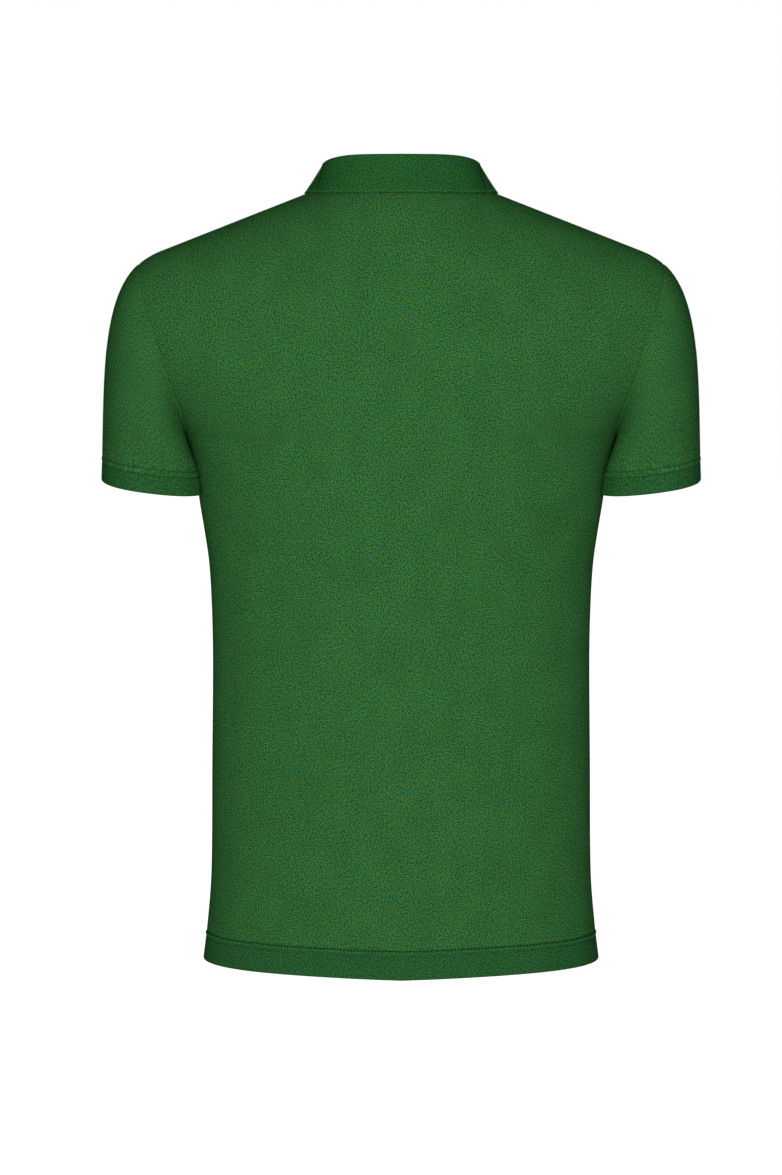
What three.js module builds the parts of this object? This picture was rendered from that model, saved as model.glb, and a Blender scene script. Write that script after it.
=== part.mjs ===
// Short-sleeved polo shirt with a knitted collar, filled out as worn with no wearer.
// Millimetres, +Z up, front facing -Y. The origin lies midway between the neck ends of the
// two shoulder seams.

import * as THREE from 'three';

// Cloth and seams
const cloth = 1.4;
const foldedHem = 2.8;
const seamGap = 0.3;
const knitCollar = 2.0;
const bodyHem = 27;
const sleeveHem = 22;
const hemStep = 1.5;

// Heights of the cut
const hemZ = -729;
const underarmZ = -231;
const bladeZ = -150.5;
const tipZ = -70;

// Armholes, half sizes across the body's depth
const armholeBackReach = 61;
const armholeFrontReach = 60;
const armholePower = 1.6;

// Neck and shoulder seam
const neckHalf = 77;
const neckBack = 58;
const neckFront = 72;
const neckDrop = 80;
const neckDropPower = 2.0;
const shoulderTipX = 245.5;
const shoulderFall = 0.391;
const tipRoundStart = 225;
const neckShare = 0.3;
const yokeRoundness = 0.57;

// Placket and buttons
const slotHalf = 16;
const slotShare = 0.062;
const buttonGap = 0.5;
const placketProud = 1.0;
const placketThickness = 1.6;
const underStripThickness = 1.4;
const underStripDepth = 0.9;
const stripTrim = 0.7;
const buttonRadius = 5.7;
const buttonThickness = 2.6;
const buttonHoleRadius = 0.9;
const buttonHoleSpread = 1.7;
const buttonHeights = [-92, -141, -190];

// Body sections, hem to shoulder blades. Half widths are at the side of each panel's ellipse,
// depths are from the side seam plane to the middle of the panel.
const bodySections = [
  { z: -729, backHalf: 187.0, frontHalf: 187.0, backDepth: 103, frontDepth: 110 },
  { z: -693, backHalf: 183.0, frontHalf: 183.0, backDepth: 101, frontDepth: 109 },
  { z: -645, backHalf: 179.4, frontHalf: 179.4, backDepth: 100, frontDepth: 108 },
  { z: -540, backHalf: 178.0, frontHalf: 178.0, backDepth: 98, frontDepth: 107 },
  { z: -440, backHalf: 177.0, frontHalf: 177.0, backDepth: 98, frontDepth: 108 },
  { z: -390, backHalf: 178.4, frontHalf: 178.4, backDepth: 99, frontDepth: 111 },
  { z: -350, backHalf: 181.2, frontHalf: 181.2, backDepth: 101, frontDepth: 114 },
  { z: -322, backHalf: 185.0, frontHalf: 185.0, backDepth: 103, frontDepth: 116 },
  { z: -292, backHalf: 189.8, frontHalf: 189.8, backDepth: 105, frontDepth: 118 },
  { z: -264, backHalf: 193.4, frontHalf: 193.4, backDepth: 106, frontDepth: 119 },
  { z: -245, backHalf: 197.3, frontHalf: 197.3, backDepth: 107, frontDepth: 119 },
  { z: -231, backHalf: 201.6, frontHalf: 201.6, backDepth: 107, frontDepth: 119 },
  { z: -215, backHalf: 211.5, frontHalf: 208.0, backDepth: 107, frontDepth: 118 },
  { z: -201, backHalf: 226.5, frontHalf: 217.5, backDepth: 107, frontDepth: 117 },
  { z: -185, backHalf: 244.5, frontHalf: 229.5, backDepth: 107, frontDepth: 116 },
  { z: -168, backHalf: 261.0, frontHalf: 241.5, backDepth: 107, frontDepth: 115 },
  { z: -150.5, backHalf: 271.5, frontHalf: 250.0, backDepth: 106, frontDepth: 113 },
];

// The two body panels. side is the sign of y, slot the half width left open for the placket,
// neckSlope the cloth's slope at the middle of the neckline.
const backPanel = {
  side: 1,
  half: 'backHalf',
  depth: 'backDepth',
  reach: armholeBackReach,
  slot: 0,
  neckDepth: neckBack,
  drop: 0,
  neckSlope: THREE.MathUtils.degToRad(45),
};
const frontPanel = {
  side: -1,
  half: 'frontHalf',
  depth: 'frontDepth',
  reach: armholeFrontReach,
  slot: slotHalf,
  neckDepth: neckFront,
  drop: neckDrop,
  neckSlope: THREE.MathUtils.degToRad(50),
};

// Grid steps
const hemRows = [hemZ, hemZ + bodyHem, hemZ + bodyHem + hemStep];
const plainRows = [-660, -615, -570, -525, -480, -435, -395, -355, -320, -290, -262, -245];
const bodyRows = hemRows.concat(plainRows);
const armholeSteps = 6;
const yokeSteps = 7;
const neckCells = 6;
const shoulderCells = 7;

// Sleeve, from the armhole loop to the cuff
const cuffCentre = new THREE.Vector3(232.6, -8, -278.6);
const cuffAcross = new THREE.Vector3(52, 0, 6.5);
const cuffDeep = new THREE.Vector3(0, 63, -4.8);
const cuffHang = new THREE.Vector3(0.05, -0.04, -1).normalize();
const leaveMiddle = new THREE.Vector3(0.6, 0, -0.78);
const leaveSwing = new THREE.Vector3(0.15, 0, 0.12);
const leaveSpread = 0.2;
const startHandle = 0.24;
const cuffHandle = 0.4;
const armholeGap = 0.345;
const sleeveRows = [0, 0.1, 0.22, 0.36, 0.52, 0.68, 0.84, 1];
const sleeveClearance = 1.3;
const sleeveSoftness = 1.5;
const clearanceRamp = 0.2;

// Collar: how the fold stands off the neck seam, by turn from centre back (0) to centre front (1)
const foldPlaces = [
  { turn: 0, inward: 6.0, rise: 30.0 },
  { turn: 0.25, inward: 7.0, rise: 29.2 },
  { turn: 0.5, inward: 6.0, rise: 23.5 },
  { turn: 0.75, inward: 6.5, rise: 21.5 },
  { turn: 1, inward: 5.0, rise: 19.5 },
];
const foldRadius = 2.2;
const fallEdgeZ = -6;
const fallSideX = 92;
const fallLift = 2.5;
const frontLift = 5.0;
const pointLift = 0.6;
const liftSpread = 0.6;
const ridgeLift = 2.2;
const ridgeSharpness = 6;
const standBaseHandle = 0.3;
const standTopHandle = 0.35;
const collarSeam = 0.45;
const sideSeamLift = 0.6;
const sideLiftFrom = 0.4;
const sideLiftTo = 0.8;
const pointZ = -112;
const pointShare = 0.215;
const pointCurve = 2.5;
const collarEndX = 2.2;
const fallRound = 1.15;
const frontEdgeBend = 0.5;
const standSteps = 3;
const foldSteps = 5;
const fallSteps = 5;

const pique = { colour: 0x306233, roughness: 0.85 };
const rib = { colour: 0x25552a, roughness: 0.9 };
const dyedButton = { colour: 0x2b5a30, roughness: 0.45 };

// Smooth value of a named column of a table, at a value of its first column
function along(table, place, key, at) {
  const last = table.length - 1;
  let i = 0;
  while (i < last - 1 && table[i + 1][place] < at) {
    i += 1;
  }
  const slope = (k) => {
    const a = table[Math.max(k - 1, 0)];
    const b = table[Math.min(k + 1, last)];
    return (b[key] - a[key]) / (b[place] - a[place]);
  };
  const span = table[i + 1][place] - table[i][place];
  const u = (at - table[i][place]) / span;
  const u2 = u * u;
  const u3 = u2 * u;
  const start = (2 * u3 - 3 * u2 + 1) * table[i][key] + (u3 - 2 * u2 + u) * span * slope(i);
  return start + (3 * u2 - 2 * u3) * table[i + 1][key] + (u3 - u2) * span * slope(i + 1);
}

// How far the armhole's edge lies from the side seam plane at a height below the blades
function armholeReach(panel, z) {
  const cosine = (z - bladeZ) / (bladeZ - underarmZ);
  return z <= underarmZ ? 0 : panel.reach * Math.pow(1 - cosine * cosine, armholePower / 2);
}

// Point of a panel at or below the blades. column is 1 at the side or armhole, 0 at the
// slot's edge (or the middle where there is no slot) and -1 at the middle of the slot.
function bodyPoint(panel, column, z) {
  const half = along(bodySections, 'z', panel.half, z);
  const depth = along(bodySections, 'z', panel.depth, z);
  const slotAngle = Math.asin(panel.slot / half);
  const edgeAngle = Math.acos(armholeReach(panel, z) / depth);
  let angle = slotAngle + (edgeAngle - slotAngle) * column;
  if (column < 0) {
    angle = Math.asin((panel.slot * (1 + column)) / half);
  }
  return new THREE.Vector3(half * Math.sin(angle), panel.side * depth * Math.cos(angle), z);
}

function neckAngle(panel, column) {
  const first = Math.asin(panel.slot / neckHalf);
  if (column < 0) {
    return Math.asin((panel.slot * (1 + column)) / neckHalf);
  }
  return first + (Math.PI / 2 - first) * (column / neckShare);
}

// Top edge of a panel: the neckline, then the shoulder seam out to the armhole
function topPoint(panel, column) {
  if (column <= neckShare) {
    const angle = neckAngle(panel, column);
    const cosine = Math.max(Math.cos(angle), 0);
    const z = -panel.drop * Math.pow(cosine, neckDropPower);
    return new THREE.Vector3(neckHalf * Math.sin(angle), panel.side * panel.neckDepth * cosine, z);
  }
  const first = bodyPoint(panel, neckShare, bladeZ).x;
  const last = bodyPoint(panel, 1, bladeZ).x;
  const share = (bodyPoint(panel, column, bladeZ).x - first) / (last - first);
  const x = neckHalf + (shoulderTipX - neckHalf) * share;
  return new THREE.Vector3(x, 0, shoulderZ(x));
}

function shoulderZ(x) {
  const tipShare = Math.max(x - tipRoundStart, 0) / (shoulderTipX - tipRoundStart);
  const tipDrop = tipZ + shoulderFall * (shoulderTipX - neckHalf);
  return -shoulderFall * (x - neckHalf) + tipDrop * tipShare ** 2;
}

// Column of a panel above the blades: a rounded curve from the blade line over to the top edge
function yokeCurve(panel, column) {
  const start = bodyPoint(panel, column, bladeZ);
  const rise = start.clone().sub(bodyPoint(panel, column, bladeZ - 1));
  const end = topPoint(panel, column);
  const slope = column < neckShare ? Math.tan(panel.neckSlope * Math.cos(neckAngle(panel, column))) : 0;
  const lean = -rise.y * panel.side;
  const startOut = start.y * panel.side;
  const endOut = end.y * panel.side;
  const cornerOut = (startOut - lean * (end.z - start.z) - lean * slope * endOut) / (1 - lean * slope);
  const cornerZ = end.z - slope * (cornerOut - endOut);
  const share = (cornerZ - start.z) / (end.z - start.z);
  const corner = new THREE.Vector3(
    start.x + (end.x - start.x) * share,
    panel.side * cornerOut,
    cornerZ,
  );
  const first = start.clone().addScaledVector(rise, yokeRoundness * (cornerZ - start.z));
  const second = end.clone().lerp(corner, yokeRoundness);
  return new THREE.CubicBezierCurve3(start, first, second, end);
}

// Columns of half a panel, from its middle to its side
function halfColumns(panel) {
  const columns = panel.slot > 0 ? [-1] : [];
  for (let i = 0; i <= neckCells; i += 1) {
    columns.push((neckShare * i) / neckCells);
  }
  for (let i = 1; i <= shoulderCells; i += 1) {
    columns.push(neckShare + ((1 - neckShare) * i) / shoulderCells);
  }
  return columns;
}

// All points of one column, hem to top edge
function panelColumn(panel, column) {
  const points = bodyRows.map((z) => bodyPoint(panel, column, z));
  for (let i = 0; i < armholeSteps; i += 1) {
    const angle = Math.PI - ((Math.PI / 2) * i) / armholeSteps;
    const z = bladeZ + (bladeZ - underarmZ) * Math.cos(angle);
    points.push(bodyPoint(panel, column, z));
  }
  const curve = yokeCurve(panel, column);
  for (let i = 0; i <= yokeSteps; i += 1) {
    points.push(curve.getPoint(i / yokeSteps));
  }
  return points;
}

const underarmRow = bodyRows.length;
const rowCount = bodyRows.length + armholeSteps + yokeSteps + 1;
const topRow = rowCount - 1;

// The whole panel as rows of points from -x to +x, moved off the seam plane by half a gap
function panelGrid(panel) {
  const right = halfColumns(panel).map((column) => panelColumn(panel, column));
  const left = right.slice(1).reverse();
  const rows = [];
  for (let i = 0; i < rowCount; i += 1) {
    const row = left.map((points) => new THREE.Vector3(-points[i].x, points[i].y, points[i].z));
    right.forEach((points) => row.push(points[i].clone()));
    row.forEach((point) => {
      point.y += (panel.side * seamGap) / 2;
    });
    rows.push(row);
  }
  return rows;
}

// Unit normal at each grid point from its neighbours; turn is 1 or -1 to make it face out
function gridNormals(rows, closed, turn) {
  const lastRow = rows.length - 1;
  return rows.map((row, i) => row.map((point, j) => {
    const count = row.length;
    const before = closed ? (j + count - 1) % count : Math.max(j - 1, 0);
    const after = closed ? (j + 1) % count : Math.min(j + 1, count - 1);
    const across = row[after].clone().sub(row[before]);
    const up = rows[Math.min(i + 1, lastRow)][j].clone().sub(rows[Math.max(i - 1, 0)][j]);
    return across.cross(up).multiplyScalar(turn).normalize();
  }));
}

// Closed solid between an outer and an inner grid. keep says which cells are cloth.
function shell(outer, inner, closed, turn, keep) {
  const rowTotal = outer.length;
  const colTotal = outer[0].length;
  const positions = [];
  [outer, inner].forEach((grid) => grid.forEach((row) => row.forEach((point) => {
    positions.push(point.x, point.y, point.z);
  })));
  const shift = rowTotal * colTotal;
  const cells = [];
  const cellColumns = closed ? colTotal : colTotal - 1;
  for (let i = 0; i < rowTotal - 1; i += 1) {
    for (let j = 0; j < cellColumns; j += 1) {
      if (keep(i, j)) {
        const k = (j + 1) % colTotal;
        const low = i * colTotal;
        const high = low + colTotal;
        const corners = [low + j, low + k, high + k, high + j];
        cells.push(turn > 0 ? corners : corners.reverse());
      }
    }
  }
  const edges = new Set();
  cells.forEach((cell) => cell.forEach((a, n) => edges.add(`${a} ${cell[(n + 1) % 4]}`)));
  const faces = [];
  cells.forEach((cell) => {
    const [a, b, c, d] = cell;
    faces.push(a, b, c, a, c, d);
    faces.push(c + shift, b + shift, a + shift, d + shift, c + shift, a + shift);
    cell.forEach((from, n) => {
      const to = cell[(n + 1) % 4];
      if (!edges.has(`${to} ${from}`)) {
        faces.push(to, from, from + shift, to, from + shift, to + shift);
      }
    });
  });
  return closedGeometry(positions, faces);
}

// Geometry with only the points that the faces use
function closedGeometry(positions, faces) {
  const places = new Map();
  const kept = [];
  const index = faces.map((old) => {
    if (!places.has(old)) {
      places.set(old, kept.length / 3);
      kept.push(...positions.slice(old * 3, old * 3 + 3));
    }
    return places.get(old);
  });
  const geometry = new THREE.BufferGeometry();
  geometry.setAttribute('position', new THREE.Float32BufferAttribute(kept, 3));
  geometry.setIndex(index);
  geometry.computeVertexNormals();
  return geometry;
}

// Armhole loop of the wearer's left side (+x): tip, down the back, underarm, up the front
function armholeLoop(backRows, frontRows) {
  const side = backRows[0].length - 1;
  const frontSide = frontRows[0].length - 1;
  const loop = [];
  const turnAt = (i) => {
    const step = i - underarmRow;
    if (step <= armholeSteps) {
      return Math.PI - ((Math.PI / 2) * step) / armholeSteps;
    }
    return (Math.PI / 2) * (1 - (step - armholeSteps) / yokeSteps);
  };
  for (let i = topRow; i >= underarmRow; i -= 1) {
    loop.push({ panel: backPanel, row: i, turn: turnAt(i), point: backRows[i][side].clone() });
  }
  for (let i = underarmRow + 1; i < topRow; i += 1) {
    loop.push({ panel: frontPanel, row: i, turn: turnAt(i), point: frontRows[i][frontSide].clone() });
  }
  loop.forEach((entry) => {
    if (entry.row === topRow || entry.row === underarmRow) {
      entry.point.y = 0;
    }
  });
  return loop;
}

// Keeps a sleeve point outside the body by the given clearance, softly
function clearOfBody(point, clearance, softness) {
  if (point.z > bladeZ || clearance <= 0) {
    return point;
  }
  const panel = point.y >= 0 ? backPanel : frontPanel;
  const half = along(bodySections, 'z', panel.half, point.z);
  const depth = along(bodySections, 'z', panel.depth, point.z);
  const limit = half * Math.sqrt(Math.max(1 - (point.y / depth) ** 2, 0)) + clearance;
  const over = point.x - limit;
  const x = limit + (over + Math.sqrt(over * over + softness * softness)) / 2;
  return new THREE.Vector3(x, point.y, point.z);
}

// Rows of points from the armhole down to the cuff
function sleeveGrid(loop, normals) {
  const columns = loop.map((entry, k) => {
    const side = entry.panel.side;
    const cosine = Math.cos(entry.turn);
    const sine = Math.sin(entry.turn);
    const leave = leaveMiddle.clone().addScaledVector(leaveSwing, cosine);
    leave.y = leaveSpread * sine * side;
    leave.normalize();
    const opening = leave.dot(normals[k]);
    const start = entry.point.clone();
    const away = leave.clone().addScaledVector(normals[k], Math.max(2 * opening, 0)).normalize();
    start.addScaledVector(away, armholeGap);
    const end = cuffCentre.clone().addScaledVector(cuffAcross, cosine);
    end.addScaledVector(cuffDeep, sine * side);
    const reach = end.distanceTo(start);
    const curve = new THREE.CubicBezierCurve3(
      start,
      start.clone().addScaledVector(leave, reach * startHandle),
      end.clone().addScaledVector(cuffHang, -reach * cuffHandle),
      end,
    );
    const length = curve.getLength();
    const places = sleeveRows.map((share) => share * (length - sleeveHem - hemStep));
    places.push(length - sleeveHem, length - sleeveHem / 2, length);
    return places.map((place) => {
      const share = place / length;
      const ramp = THREE.MathUtils.smoothstep(share, 0, clearanceRamp);
      return clearOfBody(curve.getPointAt(share), sleeveClearance * ramp, sleeveSoftness * ramp);
    });
  });
  return columns[0].map((unused, i) => columns.map((points) => points[i]));
}

function mirrored(rows) {
  return rows.map((row) => row.map((point) => new THREE.Vector3(-point.x, point.y, point.z)));
}

// Inward step to the inside of the cloth where two pieces meet edge to edge
function seamStep(own, other, leave) {
  if (leave.dot(own) >= 0) {
    return own.clone().multiplyScalar(-cloth);
  }
  return own.clone().add(other).multiplyScalar(-cloth / (1 + own.dot(other)));
}

function inSeamPlane(normal) {
  return new THREE.Vector3(normal.x, 0, normal.z).normalize();
}

const backRows = panelGrid(backPanel);
const frontRows = panelGrid(frontPanel);
const backNormals = gridNormals(backRows, false, -1);
const frontNormals = gridNormals(frontRows, false, 1);

// The side seams and shoulder seams share one plane, so their normals are kept in it
[[backRows, backNormals], [frontRows, frontNormals]].forEach(([rows, normals]) => {
  const last = rows[0].length - 1;
  for (let i = 0; i <= underarmRow; i += 1) {
    normals[i][0] = inSeamPlane(normals[i][0]);
    normals[i][last] = inSeamPlane(normals[i][last]);
  }
  rows[topRow].forEach((point, j) => {
    if (Math.abs(point.y) <= seamGap) {
      normals[topRow][j] = inSeamPlane(normals[topRow][j]);
    }
  });
});

const loop = armholeLoop(backRows, frontRows);
const loopNormals = loop.map((entry) => {
  const normals = entry.panel === backPanel ? backNormals : frontNormals;
  const row = normals[entry.row];
  return row[row.length - 1];
});
const sleeveRowsLeft = sleeveGrid(loop, loopNormals);
const sleeveNormals = gridNormals(sleeveRowsLeft, true, -1);
const sleeveLeave = loop.map((entry, k) => {
  const first = sleeveRowsLeft[1][k].clone();
  return first.sub(sleeveRowsLeft[0][k]).normalize();
});
loop.forEach((entry, k) => {
  if (entry.row === topRow || entry.row === underarmRow) {
    sleeveNormals[0][k] = inSeamPlane(sleeveNormals[0][k]);
  }
});

function panelInner(panel, rows, normals) {
  const last = rows[0].length - 1;
  const steps = rows.map((row, i) => row.map((point, j) => {
    const thickness = rows[i][j].z <= hemZ + bodyHem + 0.01 ? foldedHem : cloth;
    return normals[i][j].clone().multiplyScalar(-thickness);
  }));
  loop.forEach((entry, k) => {
    const shared = entry.row === topRow || entry.row === underarmRow;
    if (entry.panel === panel || shared) {
      const step = seamStep(loopNormals[k], sleeveNormals[0][k], sleeveLeave[k]);
      steps[entry.row][last] = step;
      steps[entry.row][0] = new THREE.Vector3(-step.x, step.y, step.z);
    }
  });
  return rows.map((row, i) => row.map((point, j) => point.clone().add(steps[i][j])));
}

function sleeveInner() {
  const hemRow = sleeveRows.length;
  return sleeveRowsLeft.map((row, i) => row.map((point, k) => {
    if (i === 0) {
      const own = sleeveNormals[0][k];
      if (sleeveLeave[k].dot(loopNormals[k]) < 0) {
        return point.clone().add(seamStep(loopNormals[k], own, sleeveLeave[k]));
      }
      return point.clone().addScaledVector(own, -cloth);
    }
    return point.clone().addScaledVector(sleeveNormals[i][k], i >= hemRow ? -foldedHem : -cloth);
  }));
}

const always = () => true;
const frontMiddle = (frontRows[0].length - 1) / 2;
const clothOfFront = (i, j) => i < underarmRow || j < frontMiddle - 1 || j > frontMiddle;

const shirt = new THREE.Group();

function add(name, geometry, finish) {
  const { colour, roughness } = finish;
  const material = new THREE.MeshStandardMaterial({ color: colour, roughness, metalness: 0 });
  const mesh = new THREE.Mesh(geometry, material);
  mesh.name = name;
  shirt.add(mesh);
  return mesh;
}

// Point of a panel at a height, with the outward normal there
function surfaceAt(panel, column, z) {
  const place = (at, height) => {
    if (height <= bladeZ) {
      return bodyPoint(panel, at, height);
    }
    const curve = yokeCurve(panel, at);
    let low = 0;
    let high = 1;
    for (let i = 0; i < 30; i += 1) {
      const middle = (low + high) / 2;
      if (curve.getPoint(middle).z < height) {
        low = middle;
      } else {
        high = middle;
      }
    }
    return curve.getPoint(low);
  };
  const nudge = 0.01;
  const point = place(column, z);
  const across = place(column + nudge, z).sub(point);
  const up = point.clone().sub(place(column, z - 1));
  const normal = across.cross(up).multiplyScalar(-panel.side).normalize();
  point.y += (panel.side * seamGap) / 2;
  return { point, normal };
}

// Neck seam on the wearer's left (+x), from centre back to the collar's front end. turn goes
// from 0 at centre back through 0.5 at the shoulder seam to 1 at centre front.
function neckRim() {
  const backMiddle = (backRows[0].length - 1) / 2;
  const rim = [];
  for (let i = 0; i <= neckCells; i += 1) {
    rim.push({
      turn: (0.5 * i) / neckCells,
      across: (neckShare * i) / neckCells,
      point: backRows[topRow][backMiddle + i].clone(),
      normal: backNormals[topRow][backMiddle + i].clone(),
    });
  }
  rim[neckCells].point.y = 0;
  for (let i = neckCells - 1; i >= 0; i -= 1) {
    rim.push({
      turn: 1 - neckAngle(frontPanel, (neckShare * i) / neckCells) / Math.PI,
      across: slotShare + ((1 - slotShare) * neckShare * i) / neckCells,
      point: frontRows[topRow][frontMiddle + 1 + i].clone(),
      normal: frontNormals[topRow][frontMiddle + 1 + i].clone(),
    });
  }
  const end = topPoint(frontPanel, collarEndX / slotHalf - 1);
  end.y -= seamGap / 2;
  const endNormal = frontNormals[topRow][frontMiddle + 1].clone();
  endNormal.x = 0;
  const across = (slotShare * collarEndX) / slotHalf;
  rim.push({ turn: 1, across, point: end, normal: endNormal.normalize() });
  return rim;
}

// Column of a panel at a share of the way from its middle to its side, slot included
function columnAt(panel, share) {
  if (panel.slot === 0) {
    return share;
  }
  return share < slotShare ? share / slotShare - 1 : (share - slotShare) / (1 - slotShare);
}

// Point above the blades at a share across the panel and a share up its curve, with its normal
function yokeAt(panel, across, up) {
  const nudge = 0.004;
  const place = (a, b) => yokeCurve(panel, columnAt(panel, a)).getPoint(b);
  const point = place(across, up);
  const sideways = place(across + nudge, up).sub(point);
  const below = place(across, up - nudge);
  const normal = sideways.cross(point.clone().sub(below)).multiplyScalar(-panel.side).normalize();
  point.y += (panel.side * seamGap) / 2;
  return { point, normal };
}

// Where the fall's edge lies on the panels: level across the back, then down to the point
function fallSeat(turn) {
  const sideShare = neckShare + ((1 - neckShare) * (fallSideX - neckHalf)) / (shoulderTipX - neckHalf);
  const panel = turn <= 0.5 ? backPanel : frontPanel;
  const down = Math.max(turn * 2 - 1, 0);
  let across = sideShare * turn * 2;
  if (panel === frontPanel) {
    across = sideShare + (pointShare - sideShare) * down ** pointCurve;
  }
  const height = fallEdgeZ + (pointZ - fallEdgeZ) * down;
  const curve = yokeCurve(panel, columnAt(panel, across));
  let low = 0;
  let high = 1;
  while (high - low > 1e-6) {
    const middle = (low + high) / 2;
    if (curve.getPoint(middle).z < height) {
      low = middle;
    } else {
      high = middle;
    }
  }
  const bulge = frontLift * Math.sin(Math.PI * down) ** liftSpread;
  const ridge = ridgeLift * Math.sin(Math.PI * turn) ** ridgeSharpness;
  return { panel, across, down, up: low, lift: fallLift + bulge + ridge + pointLift * down };
}

// One section of the collar's middle surface, from the neck seam over the fold to the edge
function collarSection(entry, tangent) {
  const up = new THREE.Vector3(0, 0, 1);
  const rise = tangent.clone().cross(entry.normal).normalize();
  const sideAngle = (Math.PI * (entry.turn - sideLiftFrom)) / (sideLiftTo - sideLiftFrom);
  const seam = collarSeam + sideSeamLift * Math.max(Math.sin(sideAngle), 0);
  const base = entry.point.clone().addScaledVector(entry.normal, -cloth / 2);
  base.addScaledVector(rise, seam);
  const inward = new THREE.Vector3(rise.x, rise.y, 0).normalize();
  const height = along(foldPlaces, 'turn', 'rise', entry.turn);
  const inset = along(foldPlaces, 'turn', 'inward', entry.turn);
  const fold = entry.point.clone().addScaledVector(inward, inset);
  fold.z += height;
  const seat = fallSeat(entry.turn);
  const edge = yokeAt(seat.panel, seat.across, seat.up).point;
  const outward = new THREE.Vector3(edge.x - fold.x, edge.y - fold.y, 0).normalize();
  const centre = fold.clone().addScaledVector(up, -foldRadius);
  const standTop = centre.clone().addScaledVector(outward, -foldRadius);
  const fallTop = centre.clone().addScaledVector(outward, foldRadius);
  const stand = new THREE.CubicBezierCurve3(
    base,
    base.clone().addScaledVector(rise, height * standBaseHandle),
    standTop.clone().addScaledVector(up, -height * standTopHandle),
    standTop,
  );
  const lifted = fallTop.clone().sub(yokeAt(seat.panel, entry.across, 1).point);
  const points = [];
  for (let i = 0; i < standSteps; i += 1) {
    points.push(stand.getPoint(i / standSteps));
  }
  for (let i = 0; i < foldSteps; i += 1) {
    const angle = (Math.PI * i) / foldSteps;
    points.push(centre.clone().addScaledVector(outward, -foldRadius * Math.cos(angle)));
    points[points.length - 1].addScaledVector(up, foldRadius * Math.sin(angle));
  }
  for (let i = 0; i <= fallSteps; i += 1) {
    const share = i / fallSteps;
    const bend = share ** (1 + frontEdgeBend * seat.down);
    const across = THREE.MathUtils.lerp(entry.across, seat.across, bend);
    const under = yokeAt(seat.panel, across, THREE.MathUtils.lerp(1, seat.up, share));
    under.point.addScaledVector(under.normal, seat.lift * share);
    points.push(under.point.addScaledVector(lifted, (1 - share) ** fallRound));
  }
  return points;
}

// The collar's middle surface: rows from the neck seam to the fall's edge, columns from the
// wearer's right front end round the back to the left front end
function collarGrid() {
  const rim = neckRim();
  const right = rim.map((entry, i) => {
    const before = rim[Math.max(i - 1, 0)].point;
    const after = rim[Math.min(i + 1, rim.length - 1)].point;
    const tangent = after.clone().sub(before);
    if (i === 0) {
      tangent.set(1, 0, 0);
    }
    return collarSection(entry, tangent.normalize());
  });
  right[0].forEach((point) => {
    point.x = 0;
  });
  return right[0].map((unused, i) => {
    const half = right.map((points) => points[i]);
    const other = half.slice(1).reverse().map((point) => new THREE.Vector3(-point.x, point.y, point.z));
    return other.concat(half);
  });
}

function movedOut(rows, normals, distance) {
  return rows.map((row, i) => row.map((point, j) => {
    const step = normals[i][j].clone().multiplyScalar(distance);
    return step.add(point);
  }));
}

// The strip of the front panel's surface that the placket covers, trimmed below the collar
function placketGrid() {
  const shares = [-1, -0.5, 0, 0.5, 1];
  const half = slotHalf - seamGap;
  const columns = shares.map((share) => {
    const column = (Math.abs(share) * half) / slotHalf - 1;
    const points = panelColumn(frontPanel, column).slice(underarmRow);
    const last = points.length - 1;
    points[0].z += seamGap;
    const top = points[last - 1].clone().sub(points[last]).setLength(stripTrim);
    points[last].add(top);
    points.forEach((point) => {
      point.x *= Math.sign(share);
      point.y -= seamGap / 2;
    });
    return points;
  });
  return columns[0].map((unused, i) => columns.map((points) => points[i]));
}

function buttonGeometry() {
  const outline = new THREE.Shape().absarc(0, 0, buttonRadius, 0, Math.PI * 2);
  [[1, 1], [-1, 1], [-1, -1], [1, -1]].forEach(([x, y]) => {
    const hole = new THREE.Path();
    hole.absarc(x * buttonHoleSpread, y * buttonHoleSpread, buttonHoleRadius, 0, Math.PI * 2, true);
    outline.holes.push(hole);
  });
  return new THREE.ExtrudeGeometry(outline, {
    depth: buttonThickness,
    bevelEnabled: false,
    curveSegments: 5,
  });
}

const backInner = panelInner(backPanel, backRows, backNormals);
const frontInner = panelInner(frontPanel, frontRows, frontNormals);
const sleeveInnerLeft = sleeveInner();
add('back', shell(backRows, backInner, false, -1, always), pique);
add('front', shell(frontRows, frontInner, false, 1, clothOfFront), pique);
add('sleeve_left', shell(sleeveRowsLeft, sleeveInnerLeft, true, -1, always), pique);
add('sleeve_right', shell(mirrored(sleeveRowsLeft), mirrored(sleeveInnerLeft), true, 1, always), pique);

const collarMiddle = collarGrid();
const collarNormals = gridNormals(collarMiddle, false, 1);
const collarOuter = movedOut(collarMiddle, collarNormals, knitCollar / 2);
const collarInner = movedOut(collarMiddle, collarNormals, -knitCollar / 2);
add('collar', shell(collarOuter, collarInner, false, 1, always), rib);

const strip = placketGrid();
const stripNormals = gridNormals(strip, false, 1);
const overOuter = movedOut(strip, stripNormals, placketProud);
const overInner = movedOut(strip, stripNormals, placketProud - placketThickness);
const underOuter = movedOut(strip, stripNormals, -underStripDepth);
const underInner = movedOut(strip, stripNormals, -underStripDepth - underStripThickness);
add('placket_over', shell(overOuter, overInner, false, 1, always), pique);
add('placket_under', shell(underOuter, underInner, false, 1, always), pique);

buttonHeights.forEach((z, i) => {
  const seat = surfaceAt(frontPanel, -1, z);
  const button = add(`button_${i + 1}`, buttonGeometry(), dyedButton);
  button.quaternion.setFromUnitVectors(new THREE.Vector3(0, 0, 1), seat.normal);
  button.position.copy(seat.point).addScaledVector(seat.normal, placketProud + buttonGap);
});

export default shirt;
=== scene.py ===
import math

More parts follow.
